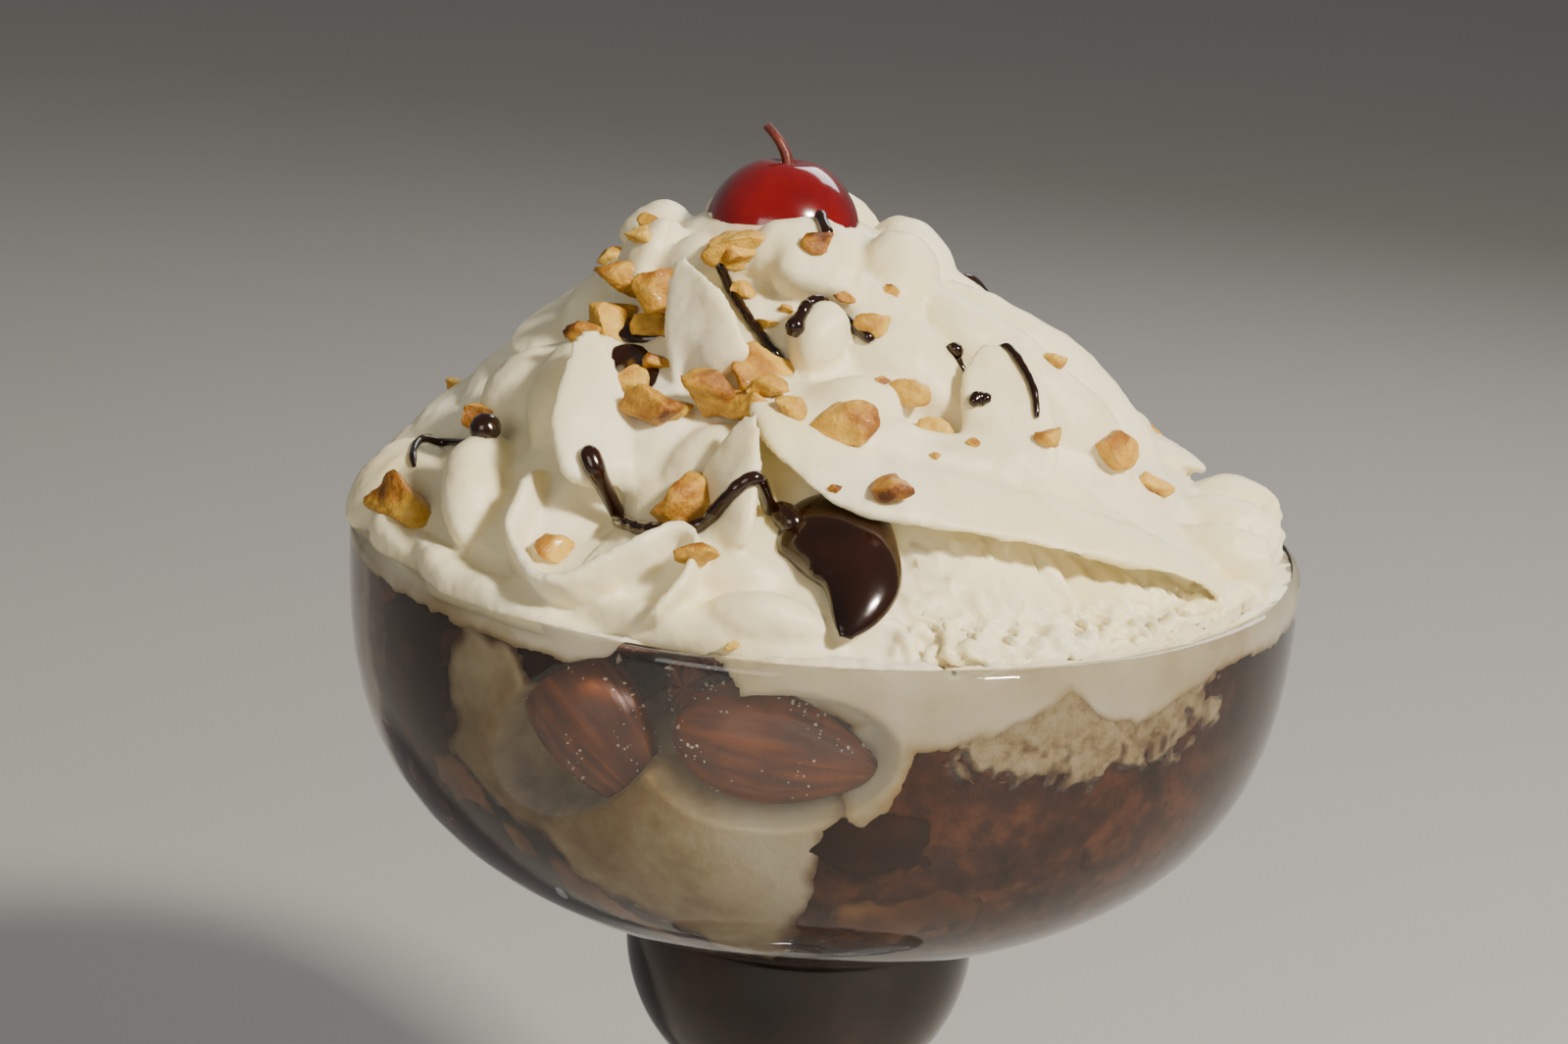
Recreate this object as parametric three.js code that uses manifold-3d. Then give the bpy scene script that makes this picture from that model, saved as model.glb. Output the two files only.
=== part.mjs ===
// Ice cream sundae in a stemmed coupe glass, in millimetres. +Z is up, the origin is the middle of the
// foot's underside, and -Y is the side that the diner sees. The glass is a wide bowl over a small round well,
// on a stem and a foot. Hot fudge fills the well, brownie and vanilla ice cream fill the bowl with roasted
// almonds against the glass, and piped whipped cream is heaped above the rim, with chopped nuts, fudge
// threads, one large fudge drop and a cherry.
import * as THREE from "three";
import { mergeVertices } from "three/addons/utils/BufferGeometryUtils.js";
import Module from "manifold-3d";

const wasm = await Module();
wasm.setup();

// Driving dimensions of the glass
const GLASS_HEIGHT = 150;
const RIM_RADIUS = 60;
const WALL = 2.2;
const BOWL_FLOOR_DEPTH = 51.2; // where the bowl's curve would close on the axis, below the rim
const BOWL_SHOULDER = 3.13; // how long the wall stays upright before it turns in
const BOWL_ROUNDNESS = 2.2;
const WELL_RADIUS = 23;
const WELL_DEPTH = 56; // from the rim to the middle of the round well
const WELL_WALL = 2.4;
const STEM_RADIUS = 5.5;
const FOOT_RADIUS = 39;
const ROUND_SEGMENTS = 32;

// Driving dimensions of the food; heights are above the rim
const GAP = 0.3; // between touching pieces
const MOUND_LEAN = -9; // how far the top of the mound stands left of the axis
const MOUND_HEIGHT = 43;
const CORE_INSET = 3.5; // the plain core lies this far inside the mound's outline
const CHERRY_RADIUS = 9.7;
const CHERRY_HEIGHT = 36.5;
const ALMOND = { length: 23, width: 13, thickness: 8.5 };

// Angles round the axis are in degrees: 0 faces the diner, 90 is the right side.
const radians = THREE.MathUtils.degToRad;
const gauss = (x, width) => Math.exp(-((x / width) ** 2));
const angleBetween = (a, b) => ((((a - b) % 360) + 540) % 360) - 180;

function seeded(seed) {
  let state = seed;
  return () => {
    state = (state * 16807) % 2147483647;
    return state / 2147483647;
  };
}

// A closed geometry as a solid, with its shared vertices merged
function solid(geometry, tolerance = 1e-3) {
  const bare = new THREE.BufferGeometry().setAttribute("position", geometry.getAttribute("position").clone());
  if (geometry.index) bare.setIndex(geometry.index.clone());
  const merged = mergeVertices(bare, tolerance);
  return new wasm.Manifold(
    new wasm.Mesh({
      numProp: 3,
      vertProperties: merged.getAttribute("position").array,
      triVerts: new Uint32Array(merged.index.array),
    }),
  );
}

function geometryOf(made) {
  const mesh = made.getMesh();
  const vertices = new Float32Array(mesh.numVert * 3);
  for (let i = 0; i < mesh.numVert; i++) {
    vertices.set(mesh.vertProperties.subarray(i * mesh.numProp, i * mesh.numProp + 3), i * 3);
  }
  const geometry = new THREE.BufferGeometry();
  geometry.setAttribute("position", new THREE.BufferAttribute(vertices, 3));
  geometry.setIndex(new THREE.BufferAttribute(mesh.triVerts, 1));
  return geometry;
}

// Turns a profile of [radius, height] pairs round the axis
function turned(profile, segments = ROUND_SEGMENTS) {
  const points = profile.map(([r, z]) => new THREE.Vector2(r, z));
  return new THREE.LatheGeometry(points, segments).rotateX(Math.PI / 2);
}

const join = (solids) => solids.reduce((all, one) => all.add(one));

// The outer skin of the largest piece of a cut solid, without loose scraps, closed hollows and needless edges
function largest(made, tolerance = 0.08) {
  const { numVert, numProp, vertProperties, triVerts } = made.asOriginal().simplify(tolerance).getMesh();
  const owner = Array.from({ length: numVert }, (_, i) => i);
  const root = (i) => {
    while (owner[i] !== i) i = owner[i] = owner[owner[i]];
    return i;
  };
  for (let i = 0; i < triVerts.length; i += 3) {
    owner[root(triVerts[i])] = root(triVerts[i + 1]);
    owner[root(triVerts[i + 1])] = root(triVerts[i + 2]);
  }
  const skins = new Map();
  for (let i = 0; i < triVerts.length; i += 3) {
    const key = root(triVerts[i]);
    if (!skins.has(key)) skins.set(key, []);
    skins.get(key).push(triVerts[i], triVerts[i + 1], triVerts[i + 2]);
  }
  const pieces = [...skins.values()].map((corners) => {
    const geometry = new THREE.BufferGeometry();
    const xyz = corners.flatMap((v) => [...vertProperties.subarray(v * numProp, v * numProp + 3)]);
    geometry.setAttribute("position", new THREE.Float32BufferAttribute(xyz, 3));
    return solid(geometry, 1e-5);
  });
  return pieces.reduce((a, b) => (a.volume() > b.volume() ? a : b));
}

function moveVertices(geometry, move) {
  const position = geometry.getAttribute("position");
  const v = new THREE.Vector3();
  for (let i = 0; i < position.count; i++) {
    move(v.fromBufferAttribute(position, i));
    position.setXYZ(i, v.x, v.y, v.z);
  }
  return geometry;
}

// The glass: one lathe-turned piece, foot, stem, well, bowl and fire-polished rim
function bowlRadius(depth) {
  return RIM_RADIUS * (1 - (depth / BOWL_FLOOR_DEPTH) ** BOWL_SHOULDER) ** (1 / BOWL_ROUNDNESS);
}

const BOWL_DEPTHS = [48.6, 47, 44, 39.5, 33, 25, 15, 4];
const WELL_ANGLES = [-52, -30, -8, 13];

// The wall's inner face as a profile from the axis up, kept clear of the glass by a further gap
function innerWall(gap) {
  const inset = WALL + gap;
  const wellInner = WELL_RADIUS - WELL_WALL - gap;
  const middle = GLASS_HEIGHT - WELL_DEPTH;
  const profile = [[0, middle - wellInner]];
  for (const angle of [-72, ...WELL_ANGLES]) {
    profile.push([wellInner * Math.cos(radians(angle)), middle + wellInner * Math.sin(radians(angle))]);
  }
  for (const depth of BOWL_DEPTHS) {
    const slope = (bowlRadius(depth - 0.05) - bowlRadius(depth + 0.05)) / 0.1;
    const length = Math.hypot(1, slope);
    const radius = bowlRadius(depth) - inset / length;
    const height = GLASS_HEIGHT - depth + (inset * slope) / length;
    if (radius > profile.at(-1)[0] && height > profile.at(-1)[1]) profile.push([radius, height]);
  }
  return profile;
}

function glassProfile(growth = 0) {
  const middle = GLASS_HEIGHT - WELL_DEPTH;
  const foot = [
    [0, 0],
    [FOOT_RADIUS - 0.8, 0],
    [FOOT_RADIUS, 1],
    [FOOT_RADIUS - 3, 2.8],
    [24, 4.7],
    [11, 9.5],
    [6.6, 19],
    [STEM_RADIUS, 34],
    [STEM_RADIUS + 0.3, 52],
    [8.6, 66],
  ];
  const outer = foot;
  for (const angle of WELL_ANGLES) {
    outer.push([
      (WELL_RADIUS + growth) * Math.cos(radians(angle)),
      middle + WELL_RADIUS * Math.sin(radians(angle)),
    ]);
  }
  for (const depth of BOWL_DEPTHS) outer.push([bowlRadius(depth) + growth, GLASS_HEIGHT - depth]);
  const rimInner = RIM_RADIUS - WALL - growth;
  const rim = [
    [RIM_RADIUS + growth, GLASS_HEIGHT - 1.4],
    [RIM_RADIUS - 0.35 + growth, GLASS_HEIGHT - 0.4 + growth],
    [RIM_RADIUS - WALL / 2, GLASS_HEIGHT + growth],
    [rimInner + 0.35, GLASS_HEIGHT - 0.4 + growth],
    [rimInner, GLASS_HEIGHT - 1.4],
  ];
  return [...outer, ...rim, ...innerWall(-growth).reverse()];
}

// The free room inside the glass, closed at the height of the rim
function cavity(gap) {
  const wall = innerWall(gap);
  const closed = [...wall, [RIM_RADIUS - WALL - gap, GLASS_HEIGHT], [0, GLASS_HEIGHT]];
  return solid(turned(closed, ROUND_SEGMENTS / 2));
}

// The outline of the whipped cream's mound: radius at each height above the rim
const MOUND_OUTLINE = [
  [-14, 56],
  [-2, 57.5],
  [4, 56],
  [10, 48],
  [22, 34],
  [30, 24],
  [37, 16],
  [41, 9],
  [MOUND_HEIGHT, 0],
];

function moundRadius(level) {
  const i = Math.max(1, MOUND_OUTLINE.findIndex(([z]) => z >= level));
  const [[z0, r0], [z1, r1]] = [MOUND_OUTLINE[i - 1], MOUND_OUTLINE[i]];
  return THREE.MathUtils.mapLinear(level, z0, z1, r0, r1);
}

const moundShift = (level) => (MOUND_LEAN * THREE.MathUtils.clamp(level, 0, MOUND_HEIGHT)) / MOUND_HEIGHT;

// A place on the mound from its angle and level, with the way out of the cream there
function onMound(angle, level, out = 0) {
  const a = radians(angle);
  const slope = (moundRadius(level - 1.5) - moundRadius(level + 1.5)) / 3;
  const away = new THREE.Vector3(Math.sin(a), -Math.cos(a), slope).normalize();
  const radius = moundRadius(level);
  const place = new THREE.Vector3(
    moundShift(level) + radius * Math.sin(a),
    -radius * Math.cos(a),
    GLASS_HEIGHT + level,
  );
  return { place: place.addScaledVector(away, out), away };
}

// A fold of cream: a ball drawn out along a path on the mound. The path holds [angle, level] pairs; width is
// across the path and height out of the cream, both half sizes; lean tips the crest to the right of the way
// that the path runs.
function fold({ path, width, height, lean = 0, out = 0, round = 7, along = 8 }) {
  const stops = path.map(([angle, level]) => onMound(angle, level, out));
  const curve = new THREE.CatmullRomCurve3(stops.map((s) => s.place));
  const aways = new THREE.CatmullRomCurve3(stops.map((s) => s.away));
  const ball = new THREE.SphereGeometry(1, round, along);
  return solid(
    moveVertices(ball, (v) => {
      const polar = Math.acos(THREE.MathUtils.clamp(v.y, -1, 1));
      const t = (1 - Math.cos(polar)) / 2;
      const ring = Math.hypot(v.x, v.z) || 1;
      const size = Math.sin(polar) ** 0.75;
      const centre = curve.getPoint(t);
      const tangent = curve.getTangent(t);
      const away = aways.getPoint(t).normalize();
      const side = new THREE.Vector3().crossVectors(tangent, away).normalize();
      const crest = away.clone().applyAxisAngle(tangent, radians(-lean));
      const across = side.clone().applyAxisAngle(tangent, radians(-lean));
      across.multiplyScalar((v.x / ring) * size * width);
      crest.multiplyScalar((-v.z / ring) * size * height);
      v.copy(centre).add(across).add(crest);
    }),
  );
}

// The folds that the diner sees, from the left side round to the right
const SEEN_FOLDS = [
  { path: [[-86, 1], [-77, 4.5], [-70, 9]], width: 9, height: 7.5, out: -3.4 },
  { path: [[-46, 3], [-53, 8.5], [-60, 14]], width: 5, height: 6, out: -1 },
  { path: [[-70, 1], [-57, 1], [-43, 2], [-30, 2.5]], width: 5, height: 5.5, out: -2 },
  { path: [[-34, 3], [-22, 3.5], [-11, 3.5], [-2, 3]], width: 4.5, height: 5, out: -3 },
  {
    path: [[-43, 12.5], [-41, 8.6], [-36.5, 6.3], [-31, 5.8], [-25, 8]],
    width: 1.8,
    height: 5.5,
    lean: 12,
    out: -1.2,
  },
  {
    path: [[-27, 7.2], [-21.5, 10.4], [-16.5, 11], [-15.4, 8.2], [-18.5, 5.2], [-22, 2.4]],
    width: 1.9,
    height: 5,
    out: -1.5,
  },
  { path: [[-42.5, 25.5], [-40, 19.5], [-36, 13]], width: 2.2, height: 6.5, lean: -15, out: -1.5 },
  { path: [[-33, 13], [-29, 19], [-27, 24]], width: 6, height: 4, out: -3 },
  { path: [[-40, 36], [-34, 31], [-29, 26]], width: 2.4, height: 6.5, lean: 10, out: -1.5 },
  { path: [[-66, 13], [-68, 19], [-64, 26]], width: 7, height: 6, out: -4.6 },
  { path: [[-52, 15.5], [-54, 22], [-51, 28]], width: 5.5, height: 5, out: -2.8 },
  { path: [[-24, 14.5], [-16, 19], [-9, 23.5]], width: 5.5, height: 4.5, out: -2.5 },
  { path: [[-15, 17], [-9, 20.4], [-3.5, 20.4]], width: 1.8, height: 4.5, out: -0.5 },
  { path: [[-15, 9.5], [-8, 9.8], [-1, 8.8]], width: 4, height: 4.5, out: -2 },
  { path: [[-5, 23], [10, 23], [28, 24.5]], width: 5, height: 4.5, out: -2.5 },
  { path: [[4, 26.5], [11, 29], [17, 30.5]], width: 3.6, height: 4.5, out: -1.5 },
  { path: [[34, 33], [41, 27.5], [46.5, 22], [48, 17]], width: 4.5, height: 5, out: -1.5 },
  { path: [[56, 34], [61, 27], [66, 20], [69, 14]], width: 5.5, height: 5.5, out: -2.5 },
  { path: [[82, 34], [85, 27], [88, 20], [86, 12]], width: 6, height: 6, out: -3 },
  {
    path: [[-2, 17.5], [14, 15.6], [30, 13.6], [43, 10], [56, 4]],
    width: 5.5,
    height: 6.5,
    lean: 12,
    out: -2,
  },
  {
    path: [[-7, 21], [-2, 16.5], [5, 12.6], [16, 11.2], [27, 10.4]],
    width: 1.6,
    height: 4.6,
    lean: 48,
    out: 0.3,
  },
  {
    path: [[20, 11], [31, 9.6], [42, 6.8], [49, 4.2], [54, 1.4]],
    width: 1.6,
    height: 4.6,
    lean: 48,
    out: 0.3,
  },
  { path: [[64, 9], [65, 4.5], [62, 1]], width: 4, height: 6, out: -2.5 },
  { path: [[76, 10], [77, 5.5], [75, 2]], width: 5, height: 5.5, out: -2.5 },
  { path: [[92, 9], [94, 4.5], [90, 1.5]], width: 6, height: 5.5, out: -2.5 },
];

// The grooved wall that the nozzle's teeth left under the wide fold at the front right
const TEETH = 7;
const TEETH_STEP = 5.8;
const toothFold = (i) => ({
  path: [
    [9 + i * TEETH_STEP, 8.5 - i * 0.6],
    [12 + i * TEETH_STEP, 4.5 - i * 0.3],
    [10 + i * TEETH_STEP, 0.8],
  ],
  width: 2.4,
  height: 4,
  out: -3,
  along: 7,
});

// Behind, where the photograph shows nothing, the same piped folds run on in three slanting tiers.
const TIERS = [
  { level: 0.5, rise: 11, count: 6, from: 96, step: 27, width: 8, height: 6.5 },
  { level: 10, rise: 13, count: 6, from: 92, step: 28, width: 8, height: 6.5 },
  { level: 22, rise: 12, count: 5, from: 96, step: 34, width: 7, height: 6 },
];

function hiddenFolds() {
  const draw = seeded(41);
  return TIERS.flatMap((tier) =>
    Array.from({ length: tier.count }, (_, i) => {
      const angle = tier.from + i * tier.step + 4 * draw();
      const level = tier.level + 1.5 * draw();
      return {
        path: [
          [angle - 8, level],
          [angle + 8, level + tier.rise * 0.45],
          [angle + 22, level + tier.rise],
        ],
        width: tier.width + draw(),
        height: tier.height,
        out: -5.2,
      };
    }),
  );
}

// The nest of small folds round the foot of the cherry
const NEST = [
  { angle: -46, level: 38, size: 3.2 },
  { angle: -2, level: 37.2, size: 4.4 },
  { angle: 30, level: 38.2, size: 4.6 },
  { angle: 72, level: 34.5, size: 5 },
  { angle: 115, level: 36, size: 5 },
  { angle: 160, level: 36.6, size: 5 },
  { angle: 206, level: 36.2, size: 5 },
  { angle: 252, level: 35.2, size: 4.8 },
  { angle: 290, level: 36, size: 3.6 },
];
const nestFold = ({ angle, level, size }) => ({
  path: [
    [angle - 16, level - 3.5],
    [angle, level],
    [angle + 16, level + 1],
  ],
  width: size,
  height: size,
  out: -1.5,
  along: 6,
});

// How far the cream reaches down inside the bowl, below the rim, at an angle and a distance from the axis
const DRAPES = [
  { angle: -21, depth: 2.6, width: 5 },
  { angle: 0, depth: 3.2, width: 9 },
  { angle: 13, depth: 4.6, width: 9 },
  { angle: 7.5, depth: 9, width: 3.2 },
  { angle: 38, depth: 3.6, width: 7 },
  { angle: 96, depth: 3.5, width: 12 },
  { angle: 150, depth: 4.5, width: 15 },
  { angle: 205, depth: 3, width: 12 },
  { angle: 250, depth: 4, width: 14 },
];
function creamDepth(angle) {
  return 2.6 + DRAPES.reduce((sum, d) => sum + d.depth * gauss(angleBetween(angle, d.angle), d.width), 0);
}

// A disc whose top follows a height, given for each angle and radius, down to a flat floor
function layerBelow(top, floor, shift) {
  const radii = [0, 20, 38, 49, 56, 62];
  const profile = [[0, floor], [62, floor], ...radii.toReversed().map((r) => [r, GLASS_HEIGHT])];
  return solid(
    moveVertices(turned(profile, 40), (v) => {
      if (v.z <= floor + 0.01) return;
      const radius = Math.hypot(v.x, v.y);
      v.z = top(THREE.MathUtils.radToDeg(Math.atan2(v.x, -v.y)), radius) + shift;
    }),
  );
}
const creamFloor = (angle, radius) => {
  const share = THREE.MathUtils.smoothstep(radius, 20, 54);
  return GLASS_HEIGHT - THREE.MathUtils.lerp(5, creamDepth(angle), share);
};
const underCream = (shift) => layerBelow(creamFloor, 60, shift);

// Hot fudge lies in the well and the bottom of the bowl, and climbs the glass in places.
const FUDGE_DEPTH = 41;
const FUDGE_RUNS = [
  { angle: -52, rise: 36, width: 7.5 },
  { angle: -28, rise: 6, width: 14 },
  { angle: 6, rise: 4, width: 9 },
  { angle: 120, rise: 10, width: 14 },
  { angle: 215, rise: 22, width: 10 },
];
const fudgeTop = (angle, radius) => {
  const share = THREE.MathUtils.smoothstep(radius, 30, 54);
  const rise = FUDGE_RUNS.reduce((sum, r) => sum + r.rise * gauss(angleBetween(angle, r.angle), r.width), 0);
  return GLASS_HEIGHT - FUDGE_DEPTH + share * rise;
};

// A ball of ice cream, pressed against the glass: place by angle, radius and level, half sizes across, outwards and up
function scoop({ angle, radius, level, across, outwards, up }, growth = 0) {
  const ball = new THREE.SphereGeometry(1, 16, 10).rotateX(Math.PI / 2);
  return solid(
    ball
      .scale(across + growth, outwards + growth, up + growth)
      .translate(0, -radius, GLASS_HEIGHT + level)
      .rotateZ(radians(angle)),
  );
}
const FRONT_SCOOPS = [
  { angle: -20, radius: 26, level: -19, across: 31, outwards: 38, up: 21 },
  { angle: -8, radius: 26, level: -33, across: 14, outwards: 27, up: 9 },
  { angle: -78, radius: 36, level: -12, across: 17, outwards: 24, up: 21 },
];
const RIGHT_SCOOPS = [
  { angle: 33, radius: 31, level: -4, across: 25, outwards: 33, up: 13 },
  { angle: 205, radius: 28, level: -16, across: 26, outwards: 34, up: 20 },
];

// A roasted almond, pointed at one end and flattened, growing by a gap when it cuts its bed
function almondShape(growth = 0) {
  const { length, width, thickness } = ALMOND;
  const ball = new THREE.SphereGeometry(1, 12, 9).rotateZ(-Math.PI / 2);
  return moveVertices(ball, (v) => {
    const taper = 1 - 0.28 * v.x - 0.16 * v.x * v.x;
    v.set(
      v.x * (length / 2 + growth),
      v.y * taper * (thickness / 2 + growth),
      v.z * taper * (width / 2 + growth),
    );
  });
}
const ALMONDS = [
  { name: "almond_front", angle: -4.2, level: -11.4, inset: 5, tilt: 8, turn: 0 },
  { name: "almond_left", angle: -27, level: -12.6, inset: 5.2, tilt: 42, turn: 0 },
  { name: "almond_behind", angle: -16, level: -7.4, inset: 19.5, tilt: 12, turn: 86 },
];

// Places an almond so that its flat side faces the glass, or, turned, so that one end does
function almondMatrix({ angle, level, inset, tilt, turn }) {
  const radius = bowlRadius(-level) - WALL - inset;
  const a = radians(angle);
  const lean = (bowlRadius(-level - 1) - bowlRadius(-level + 1)) / 2;
  return new THREE.Matrix4()
    .makeTranslation(radius * Math.sin(a), -radius * Math.cos(a), GLASS_HEIGHT + level)
    .multiply(new THREE.Matrix4().makeRotationZ(a))
    .multiply(new THREE.Matrix4().makeRotationX(-Math.atan(lean)))
    .multiply(new THREE.Matrix4().makeRotationY(radians(tilt)))
    .multiply(new THREE.Matrix4().makeRotationZ(radians(turn)));
}

// A chopped nut: an uneven chunk whose half sizes are given along, across and through
function nutChunk(seed, size, detail) {
  const draw = seeded(seed * 7919);
  const rough = mergeVertices(
    new THREE.BufferGeometry().setAttribute(
      "position",
      new THREE.IcosahedronGeometry(1, detail).getAttribute("position"),
    ),
    1e-3,
  );
  return moveVertices(rough, (v) => {
    const squareness = 1 / Math.max(Math.abs(v.x), Math.abs(v.y), Math.abs(v.z)) ** 0.45;
    v.multiplyScalar(squareness * (0.82 + 0.22 * draw()));
    v.set(v.x * size[0], v.y * size[1], v.z * size[2]);
  });
}

// Larger nut pieces as separate nodes: angle, level, half length and width, and spin on the cream
const LARGE_NUTS = [
  [-66, 4.8, 4.8, 3.5, 12],
  [-53, 27.2, 2.9, 1.7, 30],
  [-47, 32, 3.6, 2.6, 25],
  [-27, 20.3, 3.2, 2.2, -10],
  [-16.5, 22.6, 3, 2.9, 20],
  [-5.5, 26, 3.8, 2.8, 35],
  [-8, 21.8, 3.2, 2, 15],
  [-18.5, 13.8, 3.9, 2.4, 50],
  [-19, 36.4, 2.4, 3.2, 80],
  [9, 20.8, 3.4, 3, 30],
  [64, 16, 2.3, 3.1, 80],
  [112, 18, 3.2, 2.4, 20],
  [146, 9, 3.6, 2.6, -30],
  [176, 24, 3, 2.6, 50],
  [212, 13, 3.4, 2.4, 10],
];
const NUT_PROUD = 0.35; // share of a nut's thickness that its middle stands out of the cream

// Smaller nut pieces and crumbs, fused to the cream: angle, level and half length
const SMALL_NUTS = [
  [-62, 24.6, 2.6],
  [-49, 20.6, 2.5],
  [-14.5, 6.8, 2.5],
  [15.5, 23.6, 2.5],
  [64, 12.8, 2.6],
  [238, 28, 2.6],
  [-62, 14.4, 1.9],
  [-56, 30, 1.8],
  [-66, 36.4, 1.7],
  [-4, 18.6, 2.1],
  [-32, 8, 2],
  [23.5, 22.6, 2],
  [10, 13.4, 2.2],
  [22.5, 29.6, 2.2],
  [10.5, 35.8, 1.8],
  [46, 17.2, 2.2],
  [73, 20.5, 2],
  [-14, 36, 1.9],
  [98, 27, 1.8],
  [160, 18, 2],
  [192, 8, 1.8],
  [225, 20, 2],
];

// Fudge threads that lie on the cream: path, half thickness and the blob at the last point
const THREADS = [
  { path: [[-65, 7.5], [-64, 11], [-60.5, 13.6], [-57, 13.2], [-54.5, 12.2]], half: 0.8, blob: 1.9 },
  { path: [[-19, 10.4], [-25, 11.2], [-30, 13.2], [-34.5, 15.4]], half: 1, blob: 1.4 },
  { path: [[-2, 13], [-7, 12.8], [-13, 11.6], [-19, 10.6]], half: 0.9, blob: 0.9 },
  { path: [[-30, 35], [-27, 33], [-21, 30.6], [-15, 28.4], [-9.5, 27.4]], half: 0.7, blob: 0.7 },
  { path: [[20, 29.6], [15.5, 31], [10.5, 31], [5, 29.8], [1, 28.4]], half: 0.9, blob: 1.5 },
  { path: [[27, 41], [24.5, 39], [22.5, 36.6]], half: 0.8, blob: 0.9 },
  { path: [[50, 17], [55, 20], [57, 23.6], [53.5, 25.6], [50, 24.4]], half: 0.6, blob: 1.4 },
  { path: [[118, 30], [126, 26], [132, 21], [141, 17]], half: 0.8, blob: 1.3 },
  { path: [[186, 33], [192, 28], [201, 24], [206, 18]], half: 0.8, blob: 1.2 },
];

// The pool of fudge held between two folds at the upper left, and the large drop at the front
const FUDGE_POOL = {
  path: [[-33, 25.5], [-39, 27.6], [-46, 30]],
  width: 3.2,
  height: 2.4,
  out: -1.6,
  along: 7,
};
const FUDGE_DROP = { path: [[-3, 14.6], [3.5, 9.5], [5.2, 4.6], [4.8, 2.2]], width: 7, height: 3.2, out: -0.9 };

// Finds where the way in at an angle and level meets a surface, by a straight look from outside
function lander(surface) {
  const target = new THREE.Mesh(geometryOf(surface), new THREE.MeshBasicMaterial({ side: THREE.DoubleSide }));
  return (angle, level) => {
    const { place, away } = onMound(angle, level, 25);
    const hits = new THREE.Raycaster(place, away.clone().negate()).intersectObject(target);
    return { place: hits.length ? hits[0].point : onMound(angle, level).place, away };
  };
}

function thread({ path, half, blob }, land) {
  const stops = path.map(([angle, level]) => land(angle, level));
  const curve = new THREE.CatmullRomCurve3(stops.map((s) => s.place));
  const rod = new THREE.SphereGeometry(1, 4, 2 + path.length * 2);
  return moveVertices(rod, (v) => {
    const t = (1 - v.y) / 2;
    const centre = curve.getPoint(t);
    const tangent = curve.getTangent(t);
    const away = stops[Math.round(t * (stops.length - 1))].away;
    const side = new THREE.Vector3().crossVectors(tangent, away).normalize();
    const ring = Math.hypot(v.x, v.z);
    const swell = THREE.MathUtils.lerp(half, blob, THREE.MathUtils.smoothstep(t, 0.8, 0.96));
    const size = ring > 0 ? (Math.min(1, ring * 1.6) / ring) * swell : 0;
    const rise = away.clone().multiplyScalar(-v.z * size);
    side.multiplyScalar(v.x * size);
    v.copy(centre).add(side).add(rise);
  });
}

function nutOnCream([angle, level, halfLength, halfWidth, spin], seed, detail, land, growth = 0) {
  const { place, away } = land(angle, level);
  const thickness = Math.min(halfLength, halfWidth) * 0.72;
  const size = [halfLength + growth, halfWidth + growth, thickness + growth];
  const turn = new THREE.Quaternion().setFromUnitVectors(new THREE.Vector3(0, 0, 1), away);
  return nutChunk(seed, size, detail)
    .rotateZ(radians(spin))
    .applyQuaternion(turn)
    .translate(...place.addScaledVector(away, thickness * NUT_PROUD).toArray());
}

// The cherry with its short stalk, which leans back and to the left
function cherryShape(growth = 0) {
  const radius = CHERRY_RADIUS + growth;
  const ball = moveVertices(new THREE.SphereGeometry(1, 16, 10).rotateX(Math.PI / 2), (v) => {
    const dimple = 0.12 * gauss(Math.hypot(v.x, v.y), 0.22) * (v.z > 0 ? 1 : 0);
    v.multiplyScalar(radius * (1 - dimple));
  }).translate(MOUND_LEAN + 1, 0, GLASS_HEIGHT + CHERRY_HEIGHT);
  const top = GLASS_HEIGHT + CHERRY_HEIGHT + CHERRY_RADIUS;
  const stalk = new THREE.CatmullRomCurve3([
    new THREE.Vector3(MOUND_LEAN + 1, 0, top - 3),
    new THREE.Vector3(MOUND_LEAN + 1, 0.2, top - 0.4),
    new THREE.Vector3(MOUND_LEAN - 0.2, 0.8, top + 1.8),
    new THREE.Vector3(MOUND_LEAN - 1.8, 1.6, top + 3.4),
  ]);
  const round = new THREE.Shape().absarc(0, 0, 0.75 + growth, 0, 2 * Math.PI);
  const along = { steps: 4, curveSegments: 3, bevelEnabled: false, extrudePath: stalk };
  const rod = new THREE.ExtrudeGeometry(round, along);
  return solid(ball).add(solid(rod));
}

const group = new THREE.Group();
function show(name, geometry, colour, roughness, extra = {}) {
  const material = new THREE.MeshStandardMaterial({ color: colour, roughness, ...extra });
  const mesh = new THREE.Mesh(geometry, material);
  mesh.name = name;
  group.add(mesh);
}

const CREAM = 0xf7efd9;
const ICE_CREAM = 0xe8dcc0;
const BROWNIE = 0x3a1a10;
const FUDGE = 0x1d0b06;
const NUT = 0xc98f45;
const ROASTED = 0x7c3a17;

// Almonds, and the room that each needs in what it lies in
const almondBeds = ALMONDS.map((a) => solid(almondShape(GAP).applyMatrix4(almondMatrix(a))));
const room = cavity(GAP);
const contents = room.intersect(underCream(-2 * GAP));

const frontIce = join(FRONT_SCOOPS.map((s) => scoop(s)));
const grownFront = join(FRONT_SCOOPS.map((s) => scoop(s, GAP)));
const [grownRight, grownBack] = RIGHT_SCOOPS.map((s) => scoop(s, GAP));
const [rightIce, backIce] = RIGHT_SCOOPS.map((s) => scoop(s).subtract(grownFront));
const cutBeds = (made) => almondBeds.reduce((left, bed) => left.subtract(bed), made);
const grownFudge = layerBelow(fudgeTop, 60, GAP / 2);

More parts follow.
